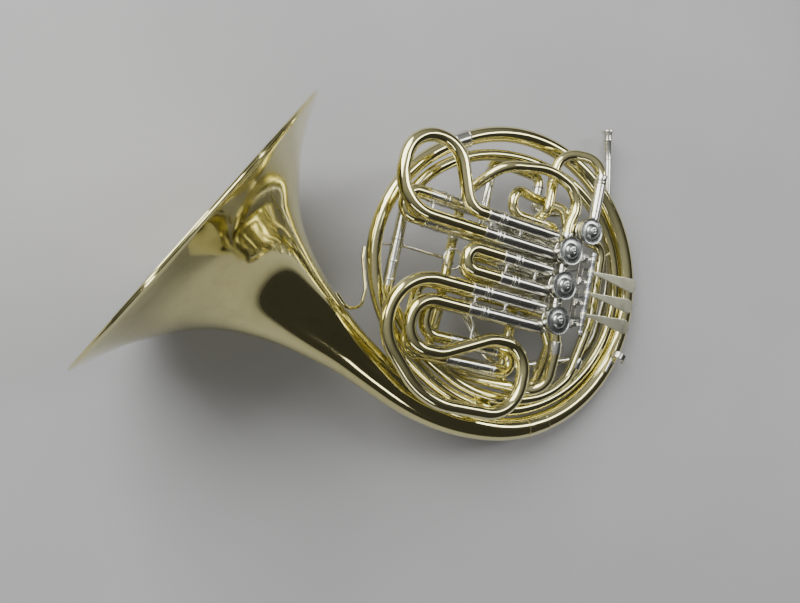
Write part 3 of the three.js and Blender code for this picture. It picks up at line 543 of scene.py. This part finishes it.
def sleeve_over(shape, points, radii, start, length, extra, bead=0.75):
    """A thin sleeve over part of a tube, with a bead at each end."""
    far = lengths(points)
    marks = np.linspace(start, start + length, max(3, int(length / 2)))
    path, sizes = [], []
    for s in marks:
        point, r = along_line(points, radii, far, s)
        path.append(point)
        sizes.append(r + extra)
    shape.tube(path, sizes, 40)
    for i, j in ((0, 1), (-1, -2)):
        shape.bead(path[i], path[i] - path[j], sizes[i] - 0.2, bead)


first = around([(-81.1, LOOP_R, 0), (0, LOOP_R, 0), (112.2, LOOP_R, 0)])
first_r = tapered(first, 10.7, 7.8)
Shape().tube(first, first_r, 40).build("first_branch_tube", BRASS, "body", "first_branch")
second = around([(113, LOOP_R, 0), (122, 153.4, 0), (131, 155.6, 0), (145, 158, 0), (157, 158.5, 0),
                 (168, 157, 0), (180, 153, 0), (188, 149.8, 0), (197, 146, 0), (210, 140.5, 0),
                 (225, 135.5, 0), (250.7, 132.6, 0)])
second_r = tapered(second, 7.6, 6.6)
Shape().tube(second, second_r, 36).build("second_branch_tube", BRASS, "body", "second_branch")
RISER_TOP = at(LEFT_RISER_A, 40, RISER_Z)
inner = around([(252, 132.5, 0), (290, 132.5, 0), (340, 134.8, 0), (380, 135.2, 0), (410, 131.5, 0),
                (430, 128, 0), (450, 129, 0), (472, 134.5, 0), (490, 140.2, -1), (501, 142, -3)])
inner += [at(-162, 52, -5.5), at(-163, 46, -6), RISER_TOP]
inner_r = [6.5 - s / 800 for s in lengths(inner)]
Shape().tube(inner, inner_r, 32).rod(xyz(-50, 124, 0), xyz(-54.6, 131.9, 0), 1.4).build(
    "inner_branch_tube", BRASS, "body", "inner_branch")
ferrules = Shape()
bell_tail = bell_points[-4:]
tail_far = lengths(bell_tail)[-1]
sleeve_over(ferrules, bell_tail + first[1:], [11.0] * 4 + first_r[1:], tail_far - 6, 24, 0.45, 0.35)
sleeve_over(ferrules, second[-3:] + inner[1:], second_r[-3:] + inner_r[1:],
            lengths(second[-3:])[-1] - 5, 17, 0.6)
ferrules.build("branch_ferrules", BRASS, "body")
joint_ferrule = Shape()
sleeve_over(joint_ferrule, first[-4:] + second[1:], first_r[-4:] + second_r[1:],
            lengths(first[-4:])[-1] - 4, 15, 0.7)
joint_ferrule.build("branch_joint", NICKEL, "body")
Shape().band(at(-162.9, 42.6, RISER_Z), V, 6.5, 4.2).build("riser_cuff", NICKEL, "body")

# ---- Mouthpipe -----------------------------------------------------------------------------
PIPE_Z = -17
RECEIVER_TOP = xyz(142.3, 176, PIPE_Z)
MAIN_Z = -14
MAIN_A = (-72.5, -12)
RECEIVER_LENGTH = 33.5
pipe = rounded([(xyz(RECEIVER_TOP.x, RECEIVER_TOP.y - RECEIVER_LENGTH - CLEAR, PIPE_Z), 0),
                (xyz(140.5, -6, PIPE_Z), 110), (xyz(112, -84, PIPE_Z), 46), (xyz(-14, -92, PIPE_Z), 36),
                (at(MAIN_A[0], -42, -15), 26), (at(MAIN_A[0], 64, MAIN_Z), 0)])
pipe_r = [3.9 + min(1, s / 360) * 1.3 for s in lengths(pipe)]
Shape().tube(pipe, pipe_r, 28).build("mouthpipe_tube", NICKEL, "body", "leadpipe")
receiver = [(0, 0), (4.0, 0), (4.3, 0.3), (4.3, 20.9), (4.6, 21.4), (5.1, 21.6), (5.4, 22.0), (5.4, 23.2),
            (5.1, 23.6), (4.8, 23.9), (4.9, 26), (5.2, 29), (5.7, 31.2), (6.4, 31.5), (6.8, 31.9),
            (6.8, 33.1), (6.5, 33.5), (4.9, 33.5), (4.5, 33.2), (4.3, 32), (2.9, 6), (0, 5.9)]
Shape().turned(receiver, RECEIVER_TOP - xyz(0, RECEIVER_LENGTH, 0), (0, 1, 0)).build(
    "receiver_turned", NICKEL, "body", "mouthpiece_receiver")


def hollow_sleeve(shape, start, end, outer, bore):
    """A straight sleeve, open at start, where it has a raised ring."""
    axis = (end - start).normalized()
    total = (end - start).length
    e = TURNED_EDGE
    profile = [(bore, 0), (outer + 0.7 - e, 0), (outer + 0.7, e), (outer + 0.7, 2.0), (outer + 0.5, 2.5),
               (outer + 0.1, 2.8), (outer + 0.1, 4.6), (outer + 0.35, 4.9), (outer + 0.35, 5.7), (outer, 6.0),
               (outer, total - e), (outer - e, total), (bore, total)]
    return shape.turned(profile, start, axis, 40, closed=True)


MAIN_MOUTH_B = 109
hollow_sleeve(Shape(), at(MAIN_A[0], MAIN_MOUTH_B, MAIN_Z), at(MAIN_A[0], 64 + CLEAR, MAIN_Z),
              SLIM["outer"], SLIM["bore"]).build("main_sleeve_left", NICKEL, "body", "main_slide_sleeve_left")
inlet = hollow_sleeve(Shape(), at(MAIN_A[1], MAIN_MOUTH_B, MAIN_Z), at(MAIN_A[1], 92, MAIN_Z),
                      SLIM["outer"], SLIM["bore"])
inlet.tube(rounded([(at(MAIN_A[1], 92.2, MAIN_Z), 0), (at(MAIN_A[1], 80, MAIN_Z), 10), (at(21, 86, 10), 9),
                    (at(21.5, 72, 14.4), 0)]), 5.2)
inlet.build("main_inlet_tube", NICKEL, "body", "main_slide_inlet")
main_bow = Shape().tube(rounded([
    (at(MAIN_A[0], MAIN_MOUTH_B + CLEAR, MAIN_Z), 0), (at(MAIN_A[0], 119, MAIN_Z), 8),
    (at(MAIN_A[1], 119, MAIN_Z), 8), (at(MAIN_A[1], MAIN_MOUTH_B + CLEAR, MAIN_Z), 0)]), SLIM["crook"], 32)
for leg_a, reach in zip(MAIN_A, (38, 15)):
    main_bow.tube([at(leg_a, MAIN_MOUTH_B + 1, MAIN_Z), at(leg_a, MAIN_MOUTH_B - reach, MAIN_Z)], SLIM["leg"])
main_bow.build("main_slide_bow", BRASS, "main_slide", "main_tuning_slide")

# ---- Return tubes --------------------------------------------------------------------------
def flange(shape, foot, way, r):
    """A turned foot of a stay of radius r."""
    shape.turned([(0, 0), (3.0, 0), (3.1, 0.5), (2.7, 1.0), (r, 1.5), (0, 1.6)], foot, way, 24)


def stay(shape, start, end, r):
    """A turned stay between two tubes, with a flange soldered to each."""
    shape.rod(start, end, r)
    for foot, way in ((start, end - start), (end, start - end)):
        flange(shape, foot, way, r)


F_RISER_A = -105
f_return = Shape().tube(rounded([
    (at(8, -46, Z_F), 0), (at(13, -62, Z_F), 25), (at(17, -107, 24), 20), (at(-15, -108, 13), 30),
    (at(-48, -108, -14), 30), (at(F_RISER_A, -100, -14), 20), (at(F_RISER_A, -50, -6), 30),
    (at(F_RISER_A, -16, -6), 0)]), TUBE_R, 32)
f_return.tube([at(F_RISER_A, -17, -6), at(F_RISER_A, 26, -6)], 5.3, 32)
f_return.build("f_return_bent", BRASS, "body", "f_return_tube")
riser_rings = Shape()
for b in (-15, 0, 24):
    riser_rings.band(at(F_RISER_A, b, RISER_Z), V, 6.1, 2.6)
stay(riser_rings, at(-157.4, 3.5, -6), at(F_RISER_A - 5.2, 3.5, -6), 1.8)
riser_rings.build("f_riser_rings", NICKEL, "body")
Shape().tube(rounded([
    (at(1.4, 48, Z_F), 0), (at(1.4, 65.5, Z_F), 30), (at(12.2, 97.5, Z_F), 24), (at(-34, 112, Z_F), 55),
    (at(-84, 101, 29), 34), (at(F_RISER_A, 72, 2), 20), (at(F_RISER_A, 38, -6), 18),
    (at(F_RISER_A, 26 + CLEAR, -6), 0)]), 5.4, 32).build("f_arch_bent", BRASS, "body", "f_return_arch")
Shape().band(at(1.4, 52, Z_F), V, 6.3, 6.4).build("arch_cuff", NICKEL, "body")

B_LEG_A = -14.5
B_LEG_Z = 15.5
b_return = Shape().tube(rounded([
    (at(10, -45, Z_B), 0), (at(20, -58, 13), 14), (at(20, -113, -3), 20), (at(-21, -113, -3), 20),
    (at(-21, 62, -3), 12), (at(B_LEG_A, 77, B_LEG_Z), 10), (at(B_LEG_A, 88, B_LEG_Z), 0)]), TUBE_R, 32)
hollow_sleeve(b_return, at(B_LEG_A, 108, B_LEG_Z), at(B_LEG_A, 88.2 - CLEAR, B_LEG_Z),
              SLIM["outer"], SLIM["bore"])
b_return.build("b_return_bent", BRASS, "body", "b_return_tube")
Shape().tube([at(11.2, -54.5, Z_F), at(12.6, -67, Z_F - 0.6)], 6.3, 40, edge=0.4).build(
    "return_cuff", NICKEL, "body")
THUMB_LEG_A = 30.5
THUMB_MOUTH_B = 118
b_sleeve = hollow_sleeve(Shape(), at(THUMB_LEG_A, THUMB_MOUTH_B, Z_F), at(THUMB_LEG_A, 86, Z_F),
                         SLIM["outer"], SLIM["bore"])
b_sleeve.tube(rounded([(at(THUMB_LEG_A, 86.2, Z_F), 0), (at(THUMB_LEG_A, 78, Z_F), 8), (at(25, 71, Z_F), 0)]),
              5.4, 32)
b_sleeve.build("b_slide_sleeve", NICKEL, "body", "b_tuning_sleeve")
b_bow = Shape().tube(rounded([
    (at(THUMB_LEG_A, THUMB_MOUTH_B + CLEAR, Z_F), 0), (at(THUMB_LEG_A, 141.5, Z_F), 21),
    (at(B_LEG_A, 141.5, B_LEG_Z), 21), (at(B_LEG_A, 108 + CLEAR, B_LEG_Z), 0)]), SLIM["crook"], 36)
b_bow.tube([at(THUMB_LEG_A, THUMB_MOUTH_B + 1, Z_F), at(THUMB_LEG_A, THUMB_MOUTH_B - 30, Z_F)], SLIM["leg"])
b_bow.tube([at(B_LEG_A, 109, B_LEG_Z), at(B_LEG_A, 90, B_LEG_Z)], SLIM["leg"])
b_bow.build("b_slide_bow", BRASS, "b_slide", "b_tuning_slide")
b_bow_cuffs = Shape()
b_bow_cuffs.band(at(THUMB_LEG_A, THUMB_MOUTH_B + 4.2, Z_F), V, 6.0, 7.4)
b_bow_cuffs.band(at(B_LEG_A, 112.4, B_LEG_Z), V, 6.0, 7.4)
b_bow_cuffs.build("b_slide_cuffs", NICKEL, "b_slide")

Shape().tube(rounded([
    (at(12, 70, Z_B), 0), (at(6, 84, Z_B), 9), (at(-14, 89, 3), 14), (at(-28, 89, 5), 20),
    (at(-58, 88, Z_B), 12), (at(-57, 62, Z_B), 13), (at(0, 62, Z_B), 8), (at(0, 49, Z_B), 0)]),
    5.2, 32).build(
        "b_feed_bent", BRASS, "body", "b_feed_curl")
curl_cuffs = Shape()
curl_cuffs.band(at(-33, 62, Z_B), U, 6.0, 3.4)
curl_cuffs.band(at(-19, 62, Z_B), U, 6.0, 3.4)
curl_cuffs.build("curl_cuffs", NICKEL, "body")

feed = rounded([(at(33, 61, 10), 0), (at(67.5, 61, 10), 14), (at(70.5, -20, 10), 120),
                (at(56.5, -77, 10), 0)])
feed += around([(301, 118.5, 10), (290, 121, 10), (280, 121.5, 10), (266, 120.5, 8), (250, 119.8, 1),
                (238, 119.8, -2), (225, 121, -2), (210, 126, -2), (197, 131, -3), (189, 135.5, -5)])
feed += [at(LEFT_RISER_A, -42, RISER_Z), at(LEFT_RISER_A, 40 - CLEAR, RISER_Z)]
bell_feed = Shape().tube(feed, TUBE_R, 32)
bell_feed.build("bell_feed_bent", BRASS, "body", "bell_feed")
feed_rings = Shape()
for b in (-32, -14, 8):
    feed_rings.band(at(LEFT_RISER_A, b, RISER_Z), V, 6.35, 2.8)
feed_rings.band(at(60.5, -70, 10), at(56.5, -77, 10) - at(70.5, -20, 10), 6.4, 12)
feed_rings.rod(at(LEFT_RISER_A, 3, RISER_Z), xyz(-143.8, 33.8, -2), 1.3)
feed_rings.rod(at(68, 44, 10), xyz(124.5, 32, 3.5), 1.5)
feed_rings.build("feed_rings", NICKEL, "body")
Shape().tube([at(LEFT_RISER_A, 37, RISER_Z), at(LEFT_RISER_A, -38, RISER_Z)], 5.85, 36).build(
    "left_riser_sleeve", NICKEL, "body")

# ---- Valve slides --------------------------------------------------------------------------
SLIDES = {
    "f1": dict(a=-80, b=(47.5, 30), z=Z_F, leg=55, body="f1_slide",
               crook=[(-114.4, 47.5, 18), (-136.7, 103.5, 29), (-187.5, 103.5, 29), (-187.5, 30, 36)]),
    "f2": dict(a=-54, b=(13, -8), z=Z_F, leg=34, body="f2_slide",
               crook=[(-106.5, 13, 10.3), (-106.5, -8, 10.3)]),
    "f3": dict(a=-81, b=(-25.2, -44.5), z=Z_F, leg=55, body="f3_slide",
               crook=[(-173, -25.2, 42), (-173, -86, 45), (-122, -137, 72), (-20.5, -137, 34),
                      (-20.5, -67, 28), (-62, -67, 38), (-113.5, -91, 30), (-151, -91, 22),
                      (-151, -44.5, 22)]),
    "b2": dict(a=-50, b=(10.5, -9.5), z=Z_B, leg=28, body="b2_slide",
               crook=[(-96.5, 10.5, 9.8), (-96.5, -9.5, 9.8)]),
    "b1": dict(a=-135, b=(53.5, 28.5), z=Z_B, leg=52, body="b1_slide",
               crook=[(-172, 53.5, 12.2), (-172, 28.5, 12.2)]),
}


def strut(shape, a, b, z, reach=3.0, r=1.6):
    """A turned brace between two legs, with a flange at each end."""
    low, high = b[0] - reach, b[1] + reach
    shape.rod(at(a, low, z), at(a, high, z), r)
    for end, way in ((b[0] - SLEEVE_R + 0.2, -1), (b[1] + SLEEVE_R - 0.2, 1)):
        flange(shape, at(a, end, z), V * way, r)


for name, s in SLIDES.items():
    a, b, z = s["a"], s["b"], s["z"]
    corners = [(at(ca, cb, z), r) for ca, cb, r in s["crook"]]
    line = rounded([(at(a - 14.6, b[0], z), 0), *corners, (at(a - 14.6, b[1], z), 0)])
    crook = Shape().tube(line, CROOK_R, 40)
    crook.build("slide_%s_crook" % name, BRASS, s["body"], "slide_" + name)
    trim = Shape()
    for leg in b:
        trim.tube([at(a - 3, leg, z), at(a + s["leg"], leg, z)], LEG_R, 32)
        e = TURNED_EDGE
        lip, ring = SLEEVE_R + 0.5, SLEEVE_R + 0.45
        profile = [(0, 0), (lip - e, 0), (lip, e), (lip, 1.7), (SLEEVE_R, 2.1), (SLEEVE_R, 12.6),
                   (ring, 13), (ring, 14.4), (SLEEVE_R, 14.8), (0, 14.9)]
        trim.turned(profile, at(a - CLEAR, leg, z), -U, 40)
    strut(trim, a - 8, b, z)
    if name == "b2":
        pull_ring = [at(-110, 1, z - 2) + (U * math.cos(t) + V * math.sin(t)) * 9.6
                     for t in np.linspace(0, 2 * math.pi, 49)]
        trim.tube(pull_ring, 1.3, 16, caps=False)
    if name == "f3":
        trim.tube(rounded([(at(-108, -44, z - 2), 0), (at(-84, -52, z - 2), 12), (at(-85, -84, z - 2), 12),
                           (at(-108, -88, z - 2), 0)]), 1.5, 16, edge=0.6)
    trim.build("slide_%s_legs" % name, NICKEL, s["body"])
    if name == "b1":
        continue
    sleeves = Shape()
    for leg in b:
        hollow_sleeve(sleeves, at(a, leg, z), at(-12.6, leg, z), SLEEVE_R, SLEEVE_BORE_R)
    strut(sleeves, a + 26, b, z, reach=SLEEVE_R - 0.4)
    sleeves.build("sleeves_%s_pair" % name, NICKEL, "body", "sleeves_" + name)

b1 = SLIDES["b1"]
b1_sleeves = hollow_sleeve(Shape(), at(b1["a"], 53.5, Z_B), at(-78, 53.5, Z_B), SLEEVE_R, SLEEVE_BORE_R)
b1_sleeves.tube(rounded([(at(-78.2, 53.5, Z_B), 0), (at(-70, 53.5, Z_B), 14), (at(-52, 44, Z_B), 14),
                         (at(-11.5, 44, Z_B), 0)]), SLEEVE_R, 36)
hollow_sleeve(b1_sleeves, at(b1["a"], 28.5, Z_B), at(-12.5, 28.5, Z_B), SLEEVE_R, SLEEVE_BORE_R)
strut(b1_sleeves, -90, b1["b"], Z_B, reach=SLEEVE_R - 0.4)
b1_sleeves.build("sleeves_b1_pair", NICKEL, "body", "sleeves_b1")

Z_B3 = 14
b3_b = (-75.5, -95)
b3 = Shape()
b3_bends = Shape()
for leg, turn_a, back in ((-75.5, -127, -44), (-95, -141.5, -26.5)):
    hollow_sleeve(b3, at(-43, leg, Z_B3), at(-98.2, leg, Z_B3), SLEEVE_R, SLEEVE_BORE_R)
    b3_bends.tube(rounded([(at(-97, leg, Z_B3), 0), (at(turn_a, leg, Z_B3), 14), (at(turn_a, back, Z_B3), 12),
                           (at(-40, back, Z_B), 60), (at(-12.5, back, Z_B), 0)]), TUBE_R + 0.4, 36)
strut(b3, -88, b3_b, Z_B3, reach=SLEEVE_R - 0.4)
b3.build("sleeves_b3_pair", NICKEL, "body", "sleeves_b3")
b3_bends.build("sleeves_b3_bends", BRASS, "body")
b3_crook = Shape().tube(rounded([(at(-43 + CLEAR, -75.5, Z_B3), 0), (at(-25, -75.5, Z_B3), 9.6),
                                 (at(-25, -95, Z_B3), 9.6), (at(-43 + CLEAR, -95, Z_B3), 0)]), CROOK_R, 40)
for leg in b3_b:
    b3_crook.tube([at(-41, leg, Z_B3), at(-83, leg, Z_B3)], LEG_R, 32)
b3_crook.build("slide_b3_crook", BRASS, "b3_slide", "slide_b3")

# ---- Valves --------------------------------------------------------------------------------
VALVES = {"1": (0, PITCH), "2": (0, 0), "3": (0, -PITCH), "thumb": (20.5, 61)}
CAP_Z = 44.3
CAP_R = 14.2
THUMB_CAP_R = 13.4
CAP_KNOB = [(8.3, 2.8), (7.9, 3.0), (7.7, 3.6), (7.3, 4.5), (6.5, 5.4), (5.2, 6.1), (3.7, 6.5), (2.3, 6.7),
            (1.9, 6.6), (1.7, 6.8), (1.6, 8.0), (1.2, 8.6), (0.6, 8.8), (0, 8.8)]
for name, (a, b) in VALVES.items():
    c = at(a, b, 0)
    casing = Shape()
    casing.turned([(3.05, -3), (12.2, -3), (12.9, -2.7), (13.2, -2), (13.2, 1.4), (12.8, 1.8), (12.8, 2.6),
                   (13.2, 3), (13.2, 38.2), (12.8, 38.6), (12.8, 39.2), (13.2, 39.6), (13.2, 43.4),
                   (12.9, 44), (11.4, 44), (11.4, 0), (3.05, 0)], c, Z, 64, closed=True)
    if name in ("1", "2"):
        for along, z in ((3, Z_F), (2, Z_B)):
            casing.tube([at(along, b - 12.4, z), at(along, b - PITCH + 13.6, z)], 6, 32)
            casing.band(at(along, b - PITCH / 2, z), V, 6.6, 1.8)
    for turn in (0.6, 2.4, 4.2):
        foot = c + (U * math.cos(turn) + V * math.sin(turn)) * 9.4
        casing.turned([(0, -3.9), (1.5, -3.9), (1.7, -3.6), (1.7, -3), (0, -2.9)], foot, Z, 16)
    casing.build("valve_casing_%s_turned" % name, NICKEL, "body", "valve_casing_" + name)
    r = THUMB_CAP_R if name == "thumb" else CAP_R
    rim = [(0, 0), (r - 0.5, 0), (r - 0.1, 0.3), (r, 0.8), (r, 2.6), (r - 0.2, 3.2), (r - 0.8, 3.5),
           (r - 1.4, 3.4), (r - 1.7, 3.0)]
    Shape().turned(rim + CAP_KNOB, c + Z * CAP_Z, Z, 64).build(
        "valve_cap_%s_turned" % name, CAP, "body", "valve_cap_" + name)
for name in VALVES:
    frame["nodes"]["rotor_" + name].data.materials.clear()
    frame["nodes"]["rotor_" + name].data.materials.append(NICKEL)

PIN_STEP = 5.6 * math.sqrt(0.5)
THUMB_PIN_STEP = 3.6 * math.sqrt(0.5)
PINS = {n: (a + PIN_STEP, b - PIN_STEP) for n, (a, b) in VALVES.items()}
thumb_a, thumb_b = VALVES["thumb"]
PINS["thumb"] = (thumb_a - THUMB_PIN_STEP, thumb_b - THUMB_PIN_STEP)
for name, (a, b) in VALVES.items():
    pa, pb = PINS[name]
    arm = Shape().turned([(0, -10.1), (3.9, -10.1), (4.2, -9.8), (4.2, -8.6), (3.9, -8.3), (0, -8.3)],
                         at(a, b, 0), Z, 32)
    way = Vector((pa - a, pb - b)).normalized()
    side = Vector((-way.y, way.x))
    outline = []
    for k in range(9):
        t = -math.pi / 2 + math.pi * k / 8
        outline.append((pa + (way.x * math.cos(t) + side.x * math.sin(t)) * 1.9,
                        pb + (way.y * math.cos(t) + side.y * math.sin(t)) * 1.9))
    outline += [(a + side.x * 2.4, b + side.y * 2.4), (a - side.x * 2.4, b - side.y * 2.4)]
    arm.slab(outline, -10.1, -8.3, 0.3)
    arm.rod(at(pa, pb, -11), at(pa, pb, -9.5), 1.15)
    arm.build("stop_arm_%s_crank" % name, STEEL, "rotor_%s_turning" % name, "stop_arm_" + name)

# ---- Finger levers -------------------------------------------------------------------------
AXLE_A = 32.5
AXLE_Z = 42
LINK_Z = -13
ARM_STEP = {"1": 3.5, "2": -3.5, "3": -3.5}
LEVER_B = {"1": 22, "2": 0, "3": -22}


def hub(shape, a, z, b0, b1, outer, bore):
    total = b1 - b0
    e = 0.4
    profile = [(bore, 0), (outer - e, 0), (outer, e), (outer, total - e), (outer - e, total), (bore, total)]
    return shape.turned(profile, at(a, b0, z), V, 32, closed=True)


def link_rod(start, pin):
    """A rod from a lever's arm to an eye beside the crank pin at (a, b)."""
    end = at(*pin, LINK_Z)
    eye = [(0, -1.1), (2.1, -1.1), (2.4, -0.8), (2.4, 0.75), (2.1, 1.05), (0, 1.05)]
    return Shape().rod(start, end, 1.05).turned(eye, end, Z, 28)


PADDLE = [(35.1, -1.6), (48, -1.9), (58, -3.3), (68, -4.9), (82, -7), (88, -7.6), (92.6, -7.1), (95, -3.5),
          (95.3, 1.2), (93.8, 4.6), (90.6, 6.5), (85, 6.7), (71, 5.3), (58, 4.1), (47, 2.9), (35.1, 1.9)]


for i, b in LEVER_B.items():
    arm_b = b + ARM_STEP[i]
    outline = [(along, b + across) for along, across in smooth_outline(PADDLE, 5)]
    lever = Shape().slab(outline, 39.8, 41.4, 0.45)
    lever.rod(at(AXLE_A, b + 0.2 - 1.6, AXLE_Z + 0.1), at(AXLE_A, b + 0.2 + 2.0, AXLE_Z + 0.1), 3.3)
    lever.build("lever_%s_touch" % i, SATIN, "lever_%s_arm" % i, "lever_" + i)
    barrel = hub(Shape(), AXLE_A, AXLE_Z, b - 5, b + 5, 3, 2.2)
    barrel.rod(at(AXLE_A, arm_b, AXLE_Z - 2.5), at(AXLE_A, arm_b, LINK_Z - 1.5), 1.5)
    barrel.turned([(0, -1.9), (1.2, -1.8), (2.0, -1.1), (2.2, 0), (2.0, 1.1), (1.2, 1.8), (0, 1.9)],
                  at(AXLE_A, arm_b, LINK_Z + 0.4), Z, 24)
    barrel.build("lever_%s_barrel" % i, STEEL, "lever_%s_arm" % i)
    link_rod(at(AXLE_A - 2.5, arm_b, LINK_Z), PINS[i]).build(
        "link_rod_%s_turned" % i, STEEL, "link_" + i, "link_rod_" + i)
SPRING_B = {"1": (27.5, 32.8), "2": (5.5, 9), "3": (-16.5, -13)}
COIL_PITCH, COIL_R, COIL_WIRE_R = 0.85, 2.55, 0.36
for i, (b0, b1) in SPRING_B.items():
    span = b1 - b0 - 0.9
    steps = int(span / COIL_PITCH) * 24
    coil = [at(AXLE_A, b0 + 0.45 + span * k / steps, AXLE_Z)
            + (U * math.cos(k * math.pi / 12) + Z * math.sin(k * math.pi / 12)) * COIL_R
            for k in range(steps + 1)]
    Shape().tube(coil, COIL_WIRE_R, 8).build("lever_spring_%s_coil" % i, STEEL, "body", "lever_spring_" + i)

axle = Shape().rod(at(AXLE_A, -41, AXLE_Z), at(AXLE_A, 41, AXLE_Z), 1.9)
axle.turned([(0, 0), (2.5, 0), (3.0, 0.5), (3.0, 3.6), (2.5, 4.2), (1.4, 4.4), (1.1, 5.0), (0, 5.0)],
            at(AXLE_A, 38, AXLE_Z), V, 24)
axle.turned([(0, 5.0), (1.6, 4.8), (2.6, 4.0), (3.0, 2.6), (2.6, 1.1), (1.9, 0.2), (0, 0)],
            at(AXLE_A, -38, AXLE_Z), -V, 24)
axle.build("lever_axle_turned", STEEL, "body", "lever_axle")
bracket = Shape().slab([(19.5, -38), (26, -38), (26, 38), (19.5, 38)], 36, 38.4, 0.4)
for b in (35, 11, -11, -33):
    hub(bracket, AXLE_A, AXLE_Z, b - 1.5, b + 1.5, 3.3, 2.2)
    bracket.slab([(23, b - 1.5), (30.4, b - 1.5), (30.4, b + 1.5), (23, b + 1.5)], 36.4, 40.8, 0.3)
    bracket.slab([(22, b - 3.5), (28.9, b - 3.5), (28.9, b + 3.5), (22, b + 3.5)], 36.2, 40.2, 0.5)
for b in (PITCH, 0, -PITCH):
    bracket.slab([(13.7, b - 5), (20.5, b - 5), (20.5, b + 5), (13.7, b + 5)], 36, 38.2, 0.3)
    bracket.turned([(0, 0), (2.0, 0), (2.0, 0.5), (1.6, 0.9), (0.4, 1.0), (0, 1.0)], at(21.6, b, 38.3), Z, 20)
bracket.build("lever_bracket_plate", NICKEL, "body", "lever_bracket")

# ---- Thumb lever ---------------------------------------------------------------------------
THUMB_A = 46
THUMB_Z = -27.5
thumb_pin_b = PINS["thumb"][1]
thumb = hub(Shape(), THUMB_A, THUMB_Z, 54, 70, 3.6, 2.1)
thumb_outline = []
for k in range(13):
    t = math.pi / 2 + math.pi * k / 12
    thumb_outline.append((17 + 7 * math.cos(t), 62 + 6.6 * math.sin(t)))
thumb_outline = [(43.5, 67), (30, 69), (17, 68.6), *thumb_outline[1:-1], (17, 55.4), (30, 55), (43.5, 57)]
thumb.slab(thumb_outline, THUMB_Z - 1.6, THUMB_Z + 0.2, 0.4)
thumb.rod(at(THUMB_A, thumb_pin_b, THUMB_Z + 3), at(THUMB_A, thumb_pin_b, LINK_Z + 1.5), 1.5)
thumb.build("thumb_lever_touch", SATIN, "thumb_lever_arm", "thumb_lever")
link_rod(at(THUMB_A - 2.2, thumb_pin_b, LINK_Z), PINS["thumb"]).build(
    "thumb_link_turned", STEEL, "thumb_link_rod", "thumb_link")
ears = Shape()
for b in (52, 72):
    ears.slab([(43, b - 1.5), (53.4, b - 1.5), (53.4, b + 1.5), (43, b + 1.5)], THUMB_Z - 3, THUMB_Z + 3, 0.4)
ears.slab([(51.6, 50.5), (53.4, 50.5), (53.4, 73.5), (51.6, 73.5)], THUMB_Z - 3, THUMB_Z + 9, 0.4)
ears.rod(at(THUMB_A, 50, THUMB_Z), at(THUMB_A, 74, THUMB_Z), 1.75)
ears.rod(at(52.5, 66, THUMB_Z + 8), at(60, 60, 3), 1.9)
ears.build("thumb_bracket_ears", NICKEL, "body", "thumb_bracket")

# ---- Finger hook and bell brace ------------------------------------------------------------
HOOK_ANGLE = math.radians(-32.5)
HOOK_HALF_WIDTH = 2.8
hook_out = xyz(math.cos(HOOK_ANGLE), math.sin(HOOK_ANGLE), 0)
hook_along = xyz(-hook_out.y, hook_out.x, 0)


def near_hook(out, along, z):
    return hook_out * (LOOP_R + out) + hook_along * along + Z * z


def strip(shape, way, half, thick):
    """A flat strip with rounded edges, bent along (out, z) points."""
    loops = []
    last = len(way) - 1
    for i, (out, z) in enumerate(way):
        near, far = way[max(i - 1, 0)], way[min(i + 1, last)]
        run = Vector((far[0] - near[0], far[1] - near[1])).normalized()
        loop = []
        for along, off in ((half, 0.5), (half - 0.3, 1), (-half + 0.3, 1), (-half, 0.5), (-half, -0.5),
                           (-half + 0.3, -1), (half - 0.3, -1), (half, -0.5)):
            loop.append(near_hook(out - run.y * off * thick / 2, along, z + run.x * off * thick / 2))
        loops.append(loop)
    ends = [[near_hook(way[i][0], 0, way[i][1])] for i in (0, last)]
    return shape.rings([ends[0], *loops, ends[1]])


HOOK_WAY = [(-8, 11.5), (-8.6, 17), (-5.5, 21), (-1, 22.4), (4, 21), (7.5, 17), (9, 12.5)]
hook = strip(Shape(), smooth_outline(HOOK_WAY, 6), HOOK_HALF_WIDTH + 0.6, 1.5)
hook.tube([near_hook(-5, 2, 12), near_hook(-5, -22, 12)], 1.7, 24, edge=0.9)
hook.rod(near_hook(-6, -8, 12), near_hook(1, -8, 11.8), 1.3)
hook.build("finger_hook_bent", NICKEL, "body", "finger_hook")
Shape().tube(rounded([(xyz(-163.6, 30, 0), 0), (xyz(-166, 20, 2), 8), (xyz(-165.5, -9, 8), 20),
                      (xyz(-172, -25, 14), 11), (xyz(-188, -27, 21), 13), (xyz(-199, -13, 25), 0)]),
             1.6, 20).build("bell_brace_wire", BRASS, "body", "bell_brace")

# ---- Floor ---------------------------------------------------------------------------------
FLOOR_HALF = 6
floor_mesh = bpy.data.meshes.new("floor")
floor_corners = [(-FLOOR_HALF, -FLOOR_HALF, 0), (FLOOR_HALF, -FLOOR_HALF, 0),
                 (FLOOR_HALF, FLOOR_HALF, 0), (-FLOOR_HALF, FLOOR_HALF, 0)]
floor_mesh.from_pydata(floor_corners, [], [(0, 1, 2, 3)])
floor = bpy.data.objects.new("floor", floor_mesh)
bpy.context.scene.collection.objects.link(floor)
paper = Nodes("floor_paper", roughness=0.85)
paper.link(paper.ramp(paper.noise(2.5, 4), [(0.3, (0.38, 0.38, 0.38)), (0.7, (0.44, 0.44, 0.44))]),
           paper.shader.inputs["Base Color"])
floor_mesh.materials.append(paper.material)
